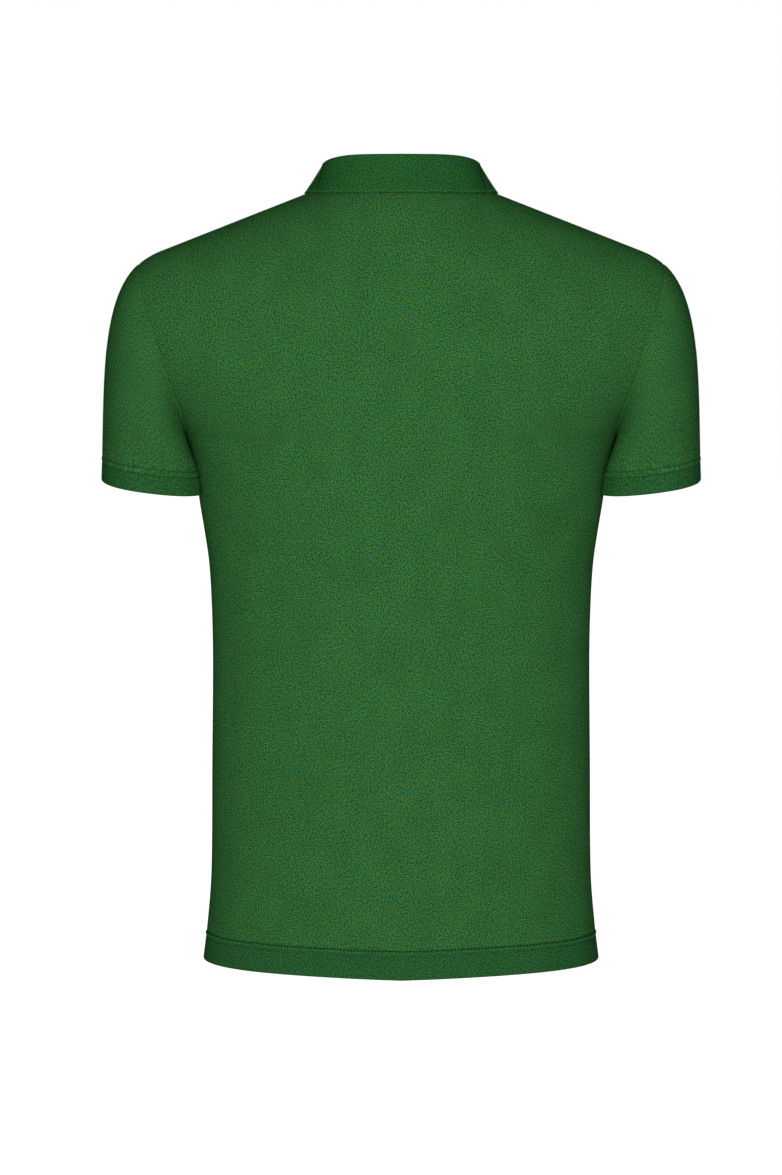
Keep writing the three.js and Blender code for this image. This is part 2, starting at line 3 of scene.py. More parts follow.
import bpy
import numpy as np
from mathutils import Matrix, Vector


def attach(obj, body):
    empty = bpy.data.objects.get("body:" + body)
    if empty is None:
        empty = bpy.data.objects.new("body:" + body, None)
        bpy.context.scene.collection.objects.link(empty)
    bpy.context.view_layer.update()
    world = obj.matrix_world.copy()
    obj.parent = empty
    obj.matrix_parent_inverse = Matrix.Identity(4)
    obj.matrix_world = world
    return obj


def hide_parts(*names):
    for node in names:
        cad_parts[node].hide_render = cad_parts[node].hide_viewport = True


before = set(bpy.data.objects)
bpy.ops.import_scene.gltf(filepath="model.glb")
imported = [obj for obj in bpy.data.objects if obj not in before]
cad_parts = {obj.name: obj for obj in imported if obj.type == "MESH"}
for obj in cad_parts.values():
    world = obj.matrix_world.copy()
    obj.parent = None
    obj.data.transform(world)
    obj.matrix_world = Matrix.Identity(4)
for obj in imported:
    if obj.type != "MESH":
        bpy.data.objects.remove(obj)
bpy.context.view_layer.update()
mm = 0.001
print("frame loaded:", len(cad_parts), "parts")


def addObject(name, data):
    item = bpy.data.objects.new(name, data)
    bpy.context.scene.collection.objects.link(item)
    return item


def pointAt(item, place, target):
    item.location = place
    item.rotation_euler = (Vector(target) - Vector(place)).to_track_quat("-Z", "Y").to_euler()


# Camera: a little above the shirt's middle, looking slightly down, as the hem's bow shows
view = {"place": (0.0096, 3.0, -0.065), "aim": (0.0096, 0.0, -0.374), "lens": 97.8, "sensor": 36}
cameraData = bpy.data.cameras.new("studioCamera")
cameraData.lens = view["lens"]
cameraData.sensor_width = view["sensor"]
camera = addObject("studioCamera", cameraData)
pointAt(camera, view["place"], view["aim"])
bpy.context.scene.camera = camera


# Cut of the shirt, in millimetres
cut = {
    "hemZ": -729.0,
    "waistZ": -400.0,
    "underarmZ": -231.0,
    "bladeZ": -150.5,
    "tipZ": -70.0,
    "armholePower": 1.35,
    "neckHalf": 77.0,
    "neckDropPower": 2.0,
    "shoulderTipX": 245.5,
    "shoulderFall": 0.391,
    "tipRoundStart": 225.0,
    "neckShare": 0.3,
    "yokeRoundness": 0.57,
    "seamGap": 0.3,
    "cloth": 1.4,
    "foldedHem": 2.8,
    "bodyHem": 27.0,
    "sleeveHem": 23.0,
    "twinNeedle": 5.6,
}
shoulderLength = cut["shoulderTipX"] - cut["neckHalf"]
farAway = 999.0  # past the reach of every seam
sections = {
    "z": [-729, -693, -645, -540, -440, -390, -350, -322, -292, -264, -245, -231, -215, -201, -185,
          -168, -150.5],
    "backHalf": [189, 184.6, 180.8, 179.4, 178.2, 179, 181.2, 185, 189.8, 193.4, 197.3, 201.6, 211.5,
                 226.5, 244.5, 261, 271.5],
    "frontHalf": [189, 184.6, 180.8, 179.4, 178.2, 179, 181.2, 185, 189.8, 193.4, 197.3, 201.6, 208,
                  217.5, 229.5, 241.5, 250],
    "backDepth": [103, 101, 100, 98, 98, 99, 101, 103, 105, 106, 107, 107, 107, 107, 107, 107, 106],
    "frontDepth": [110, 109, 108, 107, 108, 111, 114, 116, 118, 119, 119, 119, 118, 117, 116, 115,
                   113],
}
sections = {name: np.array(values, float) for name, values in sections.items()}
backPanel = {"side": 1, "half": "backHalf", "depth": "backDepth", "reach": 61.0, "slot": 0.0,
             "neckDepth": 58.0, "drop": 0.0, "neckSlope": math.radians(45)}
frontPanel = {"side": -1, "half": "frontHalf", "depth": "frontDepth", "reach": 60.0, "slot": 16.0,
              "neckDepth": 72.0, "drop": 80.0, "neckSlope": math.radians(50)}


def along(places, values, at):
    # smooth curve through a short table
    last = len(places) - 1
    i = np.clip(np.searchsorted(places, at) - 1, 0, last - 1)
    order = np.arange(last + 1)
    low, high = np.maximum(order - 1, 0), np.minimum(order + 1, last)
    slope = (values[high] - values[low]) / (places[high] - places[low])
    span = places[i + 1] - places[i]
    u = (at - places[i]) / span
    start = (2 * u**3 - 3 * u**2 + 1) * values[i] + (u**3 - 2 * u**2 + u) * span * slope[i]
    return start + (3 * u**2 - 2 * u**3) * values[i + 1] + (u**3 - u**2) * span * slope[i + 1]


def bodyPoints(panel, columns, heights):
    # rows of points at or below the shoulder blades; column 1 is the side seam or armhole
    z = np.asarray(heights, float)[:, None]
    half = along(sections["z"], sections[panel["half"]], z)
    depth = along(sections["z"], sections[panel["depth"]], z)
    cosine = (z - cut["bladeZ"]) / (cut["bladeZ"] - cut["underarmZ"])
    reach = panel["reach"] * np.maximum(1 - cosine**2, 0) ** (cut["armholePower"] / 2)
    slotAngle = np.arcsin(panel["slot"] / half)
    angle = slotAngle + (np.arccos(reach / depth) - slotAngle) * columns
    inSlot = np.arcsin(panel["slot"] * (1 + np.minimum(columns, 0)) / half)
    angle = np.where(columns < 0, inSlot, angle)
    return np.stack([half * np.sin(angle), panel["side"] * depth * np.cos(angle), z + 0 * angle], -1)


def neckAngles(panel, columns):
    first = math.asin(panel["slot"] / cut["neckHalf"])
    inSlot = np.arcsin(panel["slot"] * (1 + np.minimum(columns, 0)) / cut["neckHalf"])
    angles = first + (math.pi / 2 - first) * columns / cut["neckShare"]
    return np.minimum(np.where(columns < 0, inSlot, angles), math.pi / 2)


def shoulderZ(x):
    # a straight fall, rounded down at the tip
    tipShare = np.maximum(x - cut["tipRoundStart"], 0) / (cut["shoulderTipX"] - cut["tipRoundStart"])
    tipDrop = cut["tipZ"] + cut["shoulderFall"] * shoulderLength
    return -cut["shoulderFall"] * (x - cut["neckHalf"]) + tipDrop * tipShare**2


def topPoints(panel, columns):
    # neckline, then the shoulder seam out to the armhole
    angle = neckAngles(panel, columns)
    cosine = np.maximum(np.cos(angle), 0)
    neckY = panel["side"] * panel["neckDepth"] * cosine
    neckZ = -panel["drop"] * cosine ** cut["neckDropPower"]
    neck = np.stack([cut["neckHalf"] * np.sin(angle), neckY, neckZ], -1)
    blade = bodyPoints(panel, np.append(columns, [cut["neckShare"], 1.0]), [cut["bladeZ"]])[0, :, 0]
    x = cut["neckHalf"] + shoulderLength * (blade[:-2] - blade[-2]) / (blade[-1] - blade[-2])
    shoulder = np.stack([x, 0 * x, shoulderZ(x)], -1)
    return np.where((columns <= cut["neckShare"])[:, None], neck, shoulder)


def yokeControls(panel, columns):
    # four control points a column, from the blade line over the shoulder to the top edge
    start, below = bodyPoints(panel, columns, [cut["bladeZ"], cut["bladeZ"] - 1])
    rise = start - below
    end = topPoints(panel, columns)
    slope = np.tan(panel["neckSlope"] * np.cos(neckAngles(panel, columns)))
    slope = np.where(columns < cut["neckShare"], slope, 0)
    lean = -rise[:, 1] * panel["side"]
    startOut, endOut = start[:, 1] * panel["side"], end[:, 1] * panel["side"]
    climb = end[:, 2] - start[:, 2]
    cornerOut = (startOut - lean * climb - lean * slope * endOut) / (1 - lean * slope)
    cornerZ = end[:, 2] - slope * (cornerOut - endOut)
    share = (cornerZ - start[:, 2]) / climb
    cornerX = start[:, 0] + (end[:, 0] - start[:, 0]) * share
    corner = np.stack([cornerX, panel["side"] * cornerOut, cornerZ], -1)
    first = start + rise * (cut["yokeRoundness"] * (cornerZ - start[:, 2]))[:, None]
    return start, first, end + (corner - end) * cut["yokeRoundness"], end


def bezier(controls, share):
    a, b, c, d = controls
    s = 1 - share
    return a * s**3 + b * 3 * s**2 * share + c * 3 * s * share**2 + d * share**3


slotShare = 0.062  # share of the front's half that the placket slot takes


def columnAt(panel, share):
    # column of a panel at a share of the way from its middle to its side, slot included
    if panel["slot"] == 0:
        return share
    return np.where(share < slotShare, share / slotShare - 1, (share - slotShare) / (1 - slotShare))


def panelGrid(panel, columns, heights, shares):
    # rows of points from -x to +x, hem to top edge
    lower = bodyPoints(panel, columns, heights)
    upper = bezier([c[None] for c in yokeControls(panel, columns)], shares[:, None, None])
    right = np.concatenate([lower, upper])
    left = right[:, :0:-1] * np.array([-1, 1, 1])
    points = np.concatenate([left, right], axis=1)
    points[:, :, 1] += panel["side"] * cut["seamGap"] / 2
    return points


def unit(vectors):
    return vectors / np.linalg.norm(vectors, axis=-1, keepdims=True)


def nearest(values, wanted):
    return int(np.argmin(np.abs(values - wanted)))


def gridNormals(points, closed, outward):
    if closed:
        across = np.roll(points, -1, 1) - np.roll(points, 1, 1)
    else:
        across = np.gradient(points, axis=1)
    normals = np.cross(across, np.gradient(points, axis=0)) * outward
    return normals / np.maximum(np.linalg.norm(normals, axis=2, keepdims=True), 1e-9)


def travelled(points, axis):
    steps = np.linalg.norm(np.diff(points, axis=axis), axis=2)
    return np.insert(np.cumsum(steps, axis=axis), 0, 0, axis=axis)


uvMiddle = 0.5


def clothUv(points, closed):
    # distances along the cloth in metres: around from the middle, and up from the edge
    if closed:
        points = np.concatenate([points, points[:, :1]], axis=1)
    around = travelled(points, 1)
    around -= around[:, around.shape[1] // 2][:, None]
    return np.stack([around * mm + uvMiddle, travelled(points, 0) * mm], -1)


def edgeFade(distance, radius):
    # 0 at a rounded edge, 1 from one radius in
    inside = 1 - np.clip(distance / radius, 0, 1)
    return np.sqrt(np.maximum(1 - inside**2, 0))


def bump(distance, centre, width, height):
    return height * np.exp(-(((distance - centre) / width) ** 2))


def smoothStep(low, high, value):
    t = np.clip((value - low) / (high - low), 0, 1)
    return t * t * (3 - 2 * t)


def creases(places, folds):
    # soft troughs and ridges: from, to, half width and height, all in millimetres on the cloth
    blunt, swell = 0.04, 0.8
    total = np.zeros(places.shape[:2])
    for start, end, width, height in folds:
        start, line = np.array(start, float), np.subtract(end, start).astype(float)
        t = np.clip(((places - start) @ line) / (line @ line), 0, 1)
        away = np.linalg.norm(places - start - t[..., None] * line, axis=2)
        swelling = np.sin(math.pi * np.clip(t, blunt, 1 - blunt)) ** swell
        total += height * swelling * np.exp(-((away / width) ** 2))
    return total


def newMesh(name, points, edges, faces):
    # points are in millimetres
    mesh = bpy.data.meshes.new(name)
    mesh.from_pydata((np.asarray(points, float) * mm).tolist(), edges, faces)
    return mesh


def smoothFaces(mesh, sharpDegrees):
    mesh.polygons.foreach_set("use_smooth", np.ones(len(mesh.polygons), bool))
    mesh.update()
    mesh.set_sharp_from_angle(angle=math.radians(sharpDegrees))


def clothShell(name, outer, inner, uv, outward, slots, closed=False, keep=None, bandRow=0):
    # closed thin wall between two grids; rows below bandRow take the second material
    rows, columns = outer.shape[:2]
    if keep is None:
        keep = np.ones((rows - 1, columns if closed else columns - 1), bool)
    cellI, cellJ = np.nonzero(keep)
    corners = [(cellI, cellJ), (cellI, cellJ + 1), (cellI + 1, cellJ + 1), (cellI + 1, cellJ)]
    if outward < 0:
        corners = corners[::-1]
    index = np.stack([i * columns + j % columns for i, j in corners], 1)
    places = np.stack([uv[i, j] for i, j in corners], 1)
    band = (cellI < bandRow).astype(int)
    following = np.roll(index, -1, 1)
    shift = rows * columns
    rim = ~np.isin(following * shift + index, index * shift + following)
    a, b = index[rim], following[rim]
    uvA, uvB = places[rim], np.roll(places, -1, 1)[rim]
    walls = np.stack([b, a, a + shift, b + shift], 1)
    wallUv = np.stack([uvB, uvA, uvA, uvB], 1)
    wallBand = np.repeat(band[:, None], 4, 1)[rim]
    faces = np.concatenate([index, index[:, ::-1] + shift, walls])
    faceUv = np.concatenate([places, places[:, ::-1], wallUv])
    points = np.concatenate([outer.reshape(-1, 3), inner.reshape(-1, 3)])
    used, faces = np.unique(faces, return_inverse=True)
    mesh = newMesh(name, points[used], [], faces.reshape(-1, 4).tolist())
    layer = mesh.uv_layers.new(name="cloth")
    layer.uv.foreach_set("vector", faceUv.astype(np.float32).ravel())
    for material in slots:
        mesh.materials.append(material)
    mesh.polygons.foreach_set("material_index", np.concatenate([band, band, wallBand]).astype(np.int32))
    smoothFaces(mesh, 50)
    return addObject(name, mesh)


def hemmedWalls(base, normals, lift, fromHem, hemTop):
    # outer and inner grids of a cloth wall, doubled up to hemTop and rounded at its folded edge
    drawnIn = (1 - edgeFade(fromHem, cut["foldedHem"] / 2)) * cut["foldedHem"] / 2
    doubled = 1 - smoothStep(hemTop, hemTop + 1.5, fromHem)
    thick = cut["cloth"] + (cut["foldedHem"] - cut["cloth"]) * doubled
    outer = base + normals * (lift - drawnIn)[..., None]
    inner = base + normals * (lift - thick + drawnIn)[..., None]
    return outer, inner, thick


def dress(piece, node):
    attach(piece, "root")
    if node:
        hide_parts(node)
    return piece


# Materials
def linear(hexColour):
    # sRGB hex to the linear values that the shader wants
    parts = [int(hexColour[i:i + 2], 16) / 255 for i in (1, 3, 5)]
    return [p / 12.92 if p <= 0.04045 else ((p + 0.055) / 1.055) ** 2.4 for p in parts] + [1.0]


def addNode(tree, kind, values=None, links=None, **settings):
    node = tree.nodes.new(kind)
    for name, value in settings.items():
        setattr(node, name, value)
    for socket, value in (values or {}).items():
        node.inputs[socket].default_value = value
    for socket, source in (links or {}).items():
        tree.links.new(source, node.inputs[socket])
    return node


def calculate(tree, kind, operation, first, second):
    # each input is a constant or another node's output; a vector's SCALE takes its number fourth
    values, links = {}, {}
    for socket, item in ((0, first), (3 if operation == "SCALE" else 1, second)):
        given = links if isinstance(item, bpy.types.NodeSocket) else values
        given[socket] = item
    return addNode(tree, kind, values, links, operation=operation).outputs[0]


def newMaterial(name):
    material = bpy.data.materials.new(name)
    material.use_nodes = True
    material.node_tree.nodes.clear()
    return material, material.node_tree


def paint(tree, values, links=None):
    shader = addNode(tree, "ShaderNodeBsdfPrincipled", values, links)
    addNode(tree, "ShaderNodeOutputMaterial", links={"Surface": shader.outputs[0]})


yarn = {
    "fleckTall": 1.15,
    "streakTall": 6,
    "patchSize": (26, 40),
    "fleckTint": (1.7, 1.0, 1.65),   # pale fibre ends change red and blue more than green
    "streakTint": (1.0, 0.0, -1.0),  # a streak trades red for blue
    "darkest": (0.002, 0.006, 0.002),
    "fuzz": 1.5,
}


def knitMaterial(name, look):
    # knitted cotton: yarn flecks and wales run along the piece's own cloth map
    material, tree = newMaterial(name)

    def vector(operation, first, second):
        return calculate(tree, "ShaderNodeVectorMath", operation, first, second)

    def number(operation, first, second):
        return calculate(tree, "ShaderNodeMath", operation, first, second)

    def noise(sizeAcross, sizeUp, detail):
        place = vector("MULTIPLY", millimetres, (1 / sizeAcross, 1 / sizeUp, 1))
        return addNode(tree, "ShaderNodeTexNoise", {"Scale": 1.0, "Detail": detail, "Roughness": 0.5},
                       {"Vector": place}, noise_dimensions="2D").outputs["Fac"]

    def spread(source, low, high):
        # nearly all of a noise lies between 0.3 and 0.7
        ends = {1: 0.3, 2: 0.7, 3: low, 4: high}
        return addNode(tree, "ShaderNodeMapRange", ends, {0: source}).outputs[0]

    cloth = addNode(tree, "ShaderNodeUVMap", uv_map="cloth").outputs[0]
    millimetres = vector("MULTIPLY", cloth, (1 / mm, 1 / mm, 1 / mm))
    fleck = noise(look["fleck"], look["fleck"] * yarn["fleckTall"], 1.0)
    streak = noise(look["streak"], look["streak"] * yarn["streakTall"], 0.0)
    patch = noise(*yarn["patchSize"], 2.0)
    flecked = vector("SCALE", yarn["fleckTint"], spread(fleck, -look["contrast"], look["contrast"]))
    streaked = vector("SCALE", yarn["streakTint"], spread(streak, -look["hue"], look["hue"]))
    factor = vector("ADD", vector("ADD", flecked, streaked), (1, 1, 1))
    dyed = vector("MAXIMUM", vector("MULTIPLY", linear(look["dye"])[:3], factor), yarn["darkest"])
    colour = vector("SCALE", dyed, spread(patch, 1 - look["patch"], 1 + look["patch"]))
    parts = addNode(tree, "ShaderNodeSeparateXYZ", links={0: millimetres}).outputs
    wales = number("SINE", number("MULTIPLY", parts[0], math.pi / look["wale"]), 0)
    courses = number("SINE", number("MULTIPLY", parts[1], math.pi / look["course"]), 0)
    waffle = number("MULTIPLY", number("MULTIPLY", wales, courses), look["waffle"])
    ribs = number("MULTIPLY", wales, look["rib"])
    relief = number("ADD", waffle, number("ADD", ribs, number("MULTIPLY", fleck, yarn["fuzz"])))
    height = {"Strength": look["strength"], "Distance": look["relief"] * mm}
    raised = addNode(tree, "ShaderNodeBump", height, {"Height": relief})
    paint(tree, {"Roughness": look["roughness"], "IOR": 1.5, "Specular IOR Level": look["shine"]},
          {"Base Color": colour, "Normal": raised.outputs[0]})
    return material

# Cotton pique: a knit of small tucked cells. Mottled yarn gives fine light and dark flecks about a
# millimetre across, and short upright streaks that turn from olive to teal.
# The real cells are about 1.2 mm, drawn at 1.7 mm so that they still show in a whole-shirt view.
piqueLook = {
    "dye": "#336836", "fleck": 1.1, "contrast": 0.6, "streak": 1.3, "hue": 0.27, "patch": 0.05,
    "wale": 1.7, "course": 1.3, "waffle": 0.55, "rib": 0.15, "strength": 0.7, "relief": 0.4,
    "roughness": 0.9, "shine": 0.0,
}
# The turned hems are pressed double cloth: flatter and less mottled. Their darker dye is painted shade, for
# the band lying a little inward.
hemPaintedShadeLook = dict(piqueLook, dye="#295c30", contrast=0.52, hue=0.2, strength=0.5)
# Flat-knit collar: tighter and darker than the body, with fine upright ribs
ribLook = {
    "dye": "#275d2d", "fleck": 1.05, "contrast": 0.64, "streak": 1.3, "hue": 0.28, "patch": 0.04,
    "wale": 1.1, "course": 1.6, "waffle": 0.2, "rib": 0.7, "strength": 0.6, "relief": 0.3,
    "roughness": 0.9, "shine": 0.0,
}
pique = knitMaterial("cottonPique", piqueLook)
hemPaintedShadeCloth = knitMaterial("hemPiquePaintedShade", hemPaintedShadeLook)
rib = knitMaterial("flatKnitRib", ribLook)


def threadMaterial(name, dye, shine):
    # spun polyester sewing thread: fuzzy, with a soft shine where it lies proud
    material, tree = newMaterial(name)
    paint(tree, {"Base Color": linear(dye), "Roughness": 0.7, "IOR": 1.5, "Specular IOR Level": shine})
    return material


# One matching thread in three colours. Where it lies proud it is lighter than the cloth, a painted
# highlight; drawn down into its needle holes, as in the hems, it is darker, painted shade.
thread = threadMaterial("threadPaintedHighlight", "#407f48", 0.2)
paintedShadeThread = threadMaterial("threadPaintedShade", "#18401f", 0.0)
paintedDeepShadeThread = threadMaterial("threadPaintedDeepShade", "#0c2a12", 0.0)

# Dyed polyester resin button: moulded and tumbled to a satin finish with faint clouding
resin, resinTree = newMaterial("dyedResinButton")
resinPlace = addNode(resinTree, "ShaderNodeTexCoord").outputs["Object"]
clouds = addNode(resinTree, "ShaderNodeTexNoise", {"Scale": 260.0, "Detail": 3.0}, {"Vector": resinPlace})
resinRamp = addNode(resinTree, "ShaderNodeValToRGB", links={"Fac": clouds.outputs["Fac"]})
for stop, dye in zip(resinRamp.color_ramp.elements, ("#1f4a28", "#346a3c")):
    stop.color = linear(dye)
paint(resinTree, {"Roughness": 0.42, "IOR": 1.54, "Specular IOR Level": 0.28},
      {"Base Color": resinRamp.outputs["Color"]})
print("materials made")


# Stitch rows, by Geometry Nodes: one thread loop every pitch along a path
def stitchTree():
    tree = bpy.data.node_groups.new("stitchRun", "GeometryNodeTree")
    sockets = {"Path": "Geometry", "Pitch": "Float", "Stitch length": "Float", "Thread radius": "Float",
               "Across": "Float", "Wobble": "Float", "Facing": "Vector", "Seed": "Int",
               "Material": "Material"}
    tree.interface.new_socket("Geometry", in_out="OUTPUT", socket_type="NodeSocketGeometry")
    for name, kind in sockets.items():
        tree.interface.new_socket(name, in_out="INPUT", socket_type="NodeSocket" + kind)
    given = addNode(tree, "NodeGroupInput").outputs
    curve = addNode(tree, "GeometryNodeMeshToCurve", links={"Mesh": given["Path"]})
    points = addNode(tree, "GeometryNodeCurveToPoints", mode="LENGTH",
                     links={"Curve": curve.outputs[0], "Length": given["Pitch"]}).outputs
    sideways = calculate(tree, "ShaderNodeVectorMath", "CROSS_PRODUCT", points["Tangent"], given["Facing"])
    # a mix node's vectors are its inputs 4 and 5 and its output 1
    direction = addNode(tree, "ShaderNodeMix", data_type="VECTOR",
                        links={0: given["Across"], 4: points["Tangent"], 5: sideways}).outputs[1]
    less = calculate(tree, "ShaderNodeVectorMath", "SCALE", given["Wobble"], -1.0)
    wobble = addNode(tree, "FunctionNodeRandomValue", data_type="FLOAT_VECTOR",
                     links={"Min": less, "Max": given["Wobble"], "Seed": given["Seed"]})
    leaning = calculate(tree, "ShaderNodeVectorMath", "ADD", direction, wobble.outputs[0])
    turned = addNode(tree, "FunctionNodeAlignRotationToVector", links={"Vector": leaning}, axis="Z")
    halfLength = calculate(tree, "ShaderNodeMath", "MULTIPLY", given["Stitch length"], 0.5)
    size = addNode(tree, "ShaderNodeCombineXYZ", links={
        "X": given["Thread radius"], "Y": given["Thread radius"], "Z": halfLength})
    loop = addNode(tree, "GeometryNodeMeshUVSphere", {"Segments": 6, "Rings": 5, "Radius": 1.0})
    soft = addNode(tree, "GeometryNodeSetShadeSmooth", links={"Geometry": loop.outputs["Mesh"]})
    placed = addNode(tree, "GeometryNodeInstanceOnPoints", links={
        "Points": points["Points"], "Instance": soft.outputs[0],
        "Rotation": turned.outputs[0], "Scale": size.outputs[0]})
    real = addNode(tree, "GeometryNodeRealizeInstances", links={"Geometry": placed.outputs[0]})
    painted = addNode(tree, "GeometryNodeSetMaterial", links={
        "Geometry": real.outputs[0], "Material": given["Material"]})
    addNode(tree, "NodeGroupOutput", links={"Geometry": painted.outputs[0]})
    return tree


stitchRun = stitchTree()


def evaluatedMesh(item):
    return bpy.data.meshes.new_from_object(item.evaluated_get(bpy.context.evaluated_depsgraph_get()))


def sewn(name, paths, run, facing=(0, 0, 1), seed=3):
    # paths are arrays of points in millimetres; run has the row's sizes in millimetres
    points, edges = [], []
    for path, closed in paths:
        first = len(points)
        points.extend(np.asarray(path, float).tolist())
        edges.extend((k, k + 1) for k in range(first, len(points) - 1))
        if closed:
            edges.append((len(points) - 1, first))
    carrier = addObject(name + "Path", newMesh(name + "Path", points, edges, []))
    modifier = carrier.modifiers.new("stitches", "NODES")
    modifier.node_group = stitchRun
    # rows with no thread of their own take the lighter thread, a painted highlight
    values = {"Pitch": run["pitch"] * mm, "Stitch length": run["length"] * mm,
              "Thread radius": run["radius"] * mm, "Across": run.get("across", 0.0),
              "Wobble": run["wobble"], "Facing": facing, "Seed": seed,
              "Material": run.get("thread", thread)}
    for item in stitchRun.interface.items_tree:
        if item.in_out == "INPUT" and item.name in values:
            modifier[item.identifier] = values[item.name]
    result = evaluatedMesh(carrier)
    result.name = name
    bpy.data.objects.remove(carrier)
    return dress(addObject(name, result), None)


# Body panels
body = {
    "cell": 4.2,              # grid size of the cloth
    "seamRoll": 0.5,          # how far the cloth dips into the armhole and shoulder seams
    "sideRoll": 0.3,          # and into the side seams
    "seamRollWidth": 1.9,
    "hemSteps": [0, 0.2, 0.6, 1.4, 3, 6.5, 10, 14, 17.2, 19.2, 20.2, 20.8, 21.4, 22, 22.8, 23.5, 24.2, 24.9,
                 25.6, 26.3, 27, 27.5, 28.1, 29.2, 31],
    "hemRise": 1.6,           # the hem hangs a little higher between the middle and the side seams
    "hemRiseFades": (20, 110),
    "allowanceDepth": 0.7,
    "allowanceReach": 1.6,
    "grooveDepth": 0.85,
    "secondGroove": 0.3,      # share of that depth for the lower needle row
    "puffHeight": 0.45,
    "puffBelow": 2.4,         # how far the puff and the loops lie below the upper needle row
    "loopsBelow": 2.1,
    "puckerLength": 2.7,
    "puckerDrift": 17,
    "creaseFades": (4, 40),
    "threadLift": 0.25,
    "backFolds": [
        ((-196, -262), (-118, -338), 13, -1.5),
        ((202, -270), (132, -352), 12, -1.3),
        ((-176, -300), (-128, -372), 11, 0.9),
        ((-112, -430), (-92, -655), 24, -1.1),
        ((120, -470), (98, -690), 27, -1.0),
        ((-30, -585), (-18, -718), 30, 0.8),
        ((60, -30), (150, -120), 16, -0.7),
        ((-70, -34), (-165, -118), 17, -0.8),
        ((150, -560), (160, -700), 15, 0.8),
    ],
    "frontFolds": [
        ((-198, -260), (-110, -330), 13, -1.8),
        ((200, -266), (118, -345), 13, -1.6),
        ((-170, -292), (-100, -352), 11, 1.1),
        ((-96, -420), (-84, -660), 25, -1.3),
        ((104, -400), (90, -670), 26, -1.2),
        ((0, -262), (6, -560), 20, -1.0),
        ((34, -600), (28, -716), 26, 0.9),
        ((86, -120), (40, -215), 15, -0.9),
        ((-88, -118), (-38, -210), 15, -0.9),
    ],
}


def stepsBetween(start, end, cell):
    return np.linspace(start, end, max(int(abs(end - start) / cell + 0.5), 1) + 1)


def panelRows():
    near = cut["hemZ"] + np.array(body["hemSteps"], float)
    middle = stepsBetween(near[-1], cut["underarmZ"], body["cell"])[1:]
    upper = stepsBetween(cut["underarmZ"], cut["bladeZ"], body["cell"])[1:-1]
    heights = np.concatenate([near, middle, upper])
    shares = np.concatenate([np.linspace(0, 0.96, 38), [0.972, 0.982, 0.99, 0.995, 1]])
    return heights, shares, len(near) + len(middle) - 1


def panelColumns(panel):
    inner = np.linspace(0, cut["neckShare"], 21)
    outer = np.linspace(cut["neckShare"], 0.985, 48)[1:]
    slot = [-1, -0.5] if panel["slot"] else []
    return np.concatenate([slot, inner, outer, [0.9895, 0.9935, 0.9968, 1]])


def buildPanel(name, node, panel, folds):
    heights, shares, underarmRow = panelRows()
    base = panelGrid(panel, panelColumns(panel), heights, shares)
    fromHem = np.where(base[:, :, 2] < cut["waistZ"], base[:, :, 2] - cut["hemZ"], farAway)
    sideways = np.abs(base[0, :, 0]) / np.max(base[0, :, 0])
    rising = 1 - smoothStep(*body["hemRiseFades"], fromHem)
    base[:, :, 2] += body["hemRise"] * np.sin(math.pi * sideways) * rising
    outward = -panel["side"]
    normals = gridNormals(base, False, outward)
    across, upward = travelled(base, 1), travelled(base, 0)
    fromSide = np.minimum(across, across[:, -1:] - across)
    onShoulder = np.abs(base[-1, :, 0]) > cut["neckHalf"] + 0.5
    fromShoulder = np.where(onShoulder, upward[-1] - upward, farAway)
    depth = np.where(base[:, :, 2] < cut["underarmZ"], body["sideRoll"], body["seamRoll"])
    roll = -bump(np.minimum(fromSide, fromShoulder), 0, body["seamRollWidth"], depth)
    hemTop, hemLow = cut["bodyHem"], cut["bodyHem"] - cut["twinNeedle"]
    sewnAlong = across - across[:, across.shape[1] // 2][:, None]
    drift = 2.3 * np.sin(sewnAlong / body["puckerDrift"])
    pucker = 0.5 + 0.5 * np.sin(sewnAlong / body["puckerLength"] + drift)
    seamed = -bump(fromHem, hemTop, 0.85, body["grooveDepth"])
    seamed -= bump(fromHem, hemLow, 0.9, body["grooveDepth"] * body["secondGroove"])
    seamed += bump(fromHem, hemTop - body["puffBelow"], 1.6, body["puffHeight"]) * (0.5 + 0.5 * pucker)
    creased = creases(base[:, :, ::2], folds) * smoothStep(*body["creaseFades"], fromSide)
    outer, inner, thick = hemmedWalls(base, normals, roll + seamed + creased, fromHem, hemTop)
    if panel is frontPanel:
        # its seam allowances reach under the back panel, so no light shows through the side seams
        for edge, beside in ((0, 1), (-1, -2)):
            onward = unit(base[:, edge] - base[:, beside])
            deep = thick[:, edge, None] + body["allowanceDepth"]
            tucked = base[:, edge] - normals[:, edge] * deep + onward * body["allowanceReach"]
            inner[:underarmRow, edge] = tucked[:underarmRow]
    keep = np.ones((base.shape[0] - 1, base.shape[1] - 1), bool)
    if panel["slot"]:
        middle = (base.shape[1] - 1) // 2
        keep[underarmRow:, middle - 2:middle + 2] = False
    bandRow = int(np.searchsorted(heights, cut["hemZ"] + hemTop))
    # the hem band's rows take the darker hem material, painted shade
    piece = clothShell(name, outer, inner, clothUv(base, False), outward, [pique, hemPaintedShadeCloth],
                       keep=keep, bandRow=bandRow)
    dress(piece, node)
    rows = [nearest(heights - cut["hemZ"], up) for up in (hemTop, hemLow, hemTop - body["loopsBelow"])]
    return piece, [(outer[row] + normals[row] * body["threadLift"], False) for row in rows]


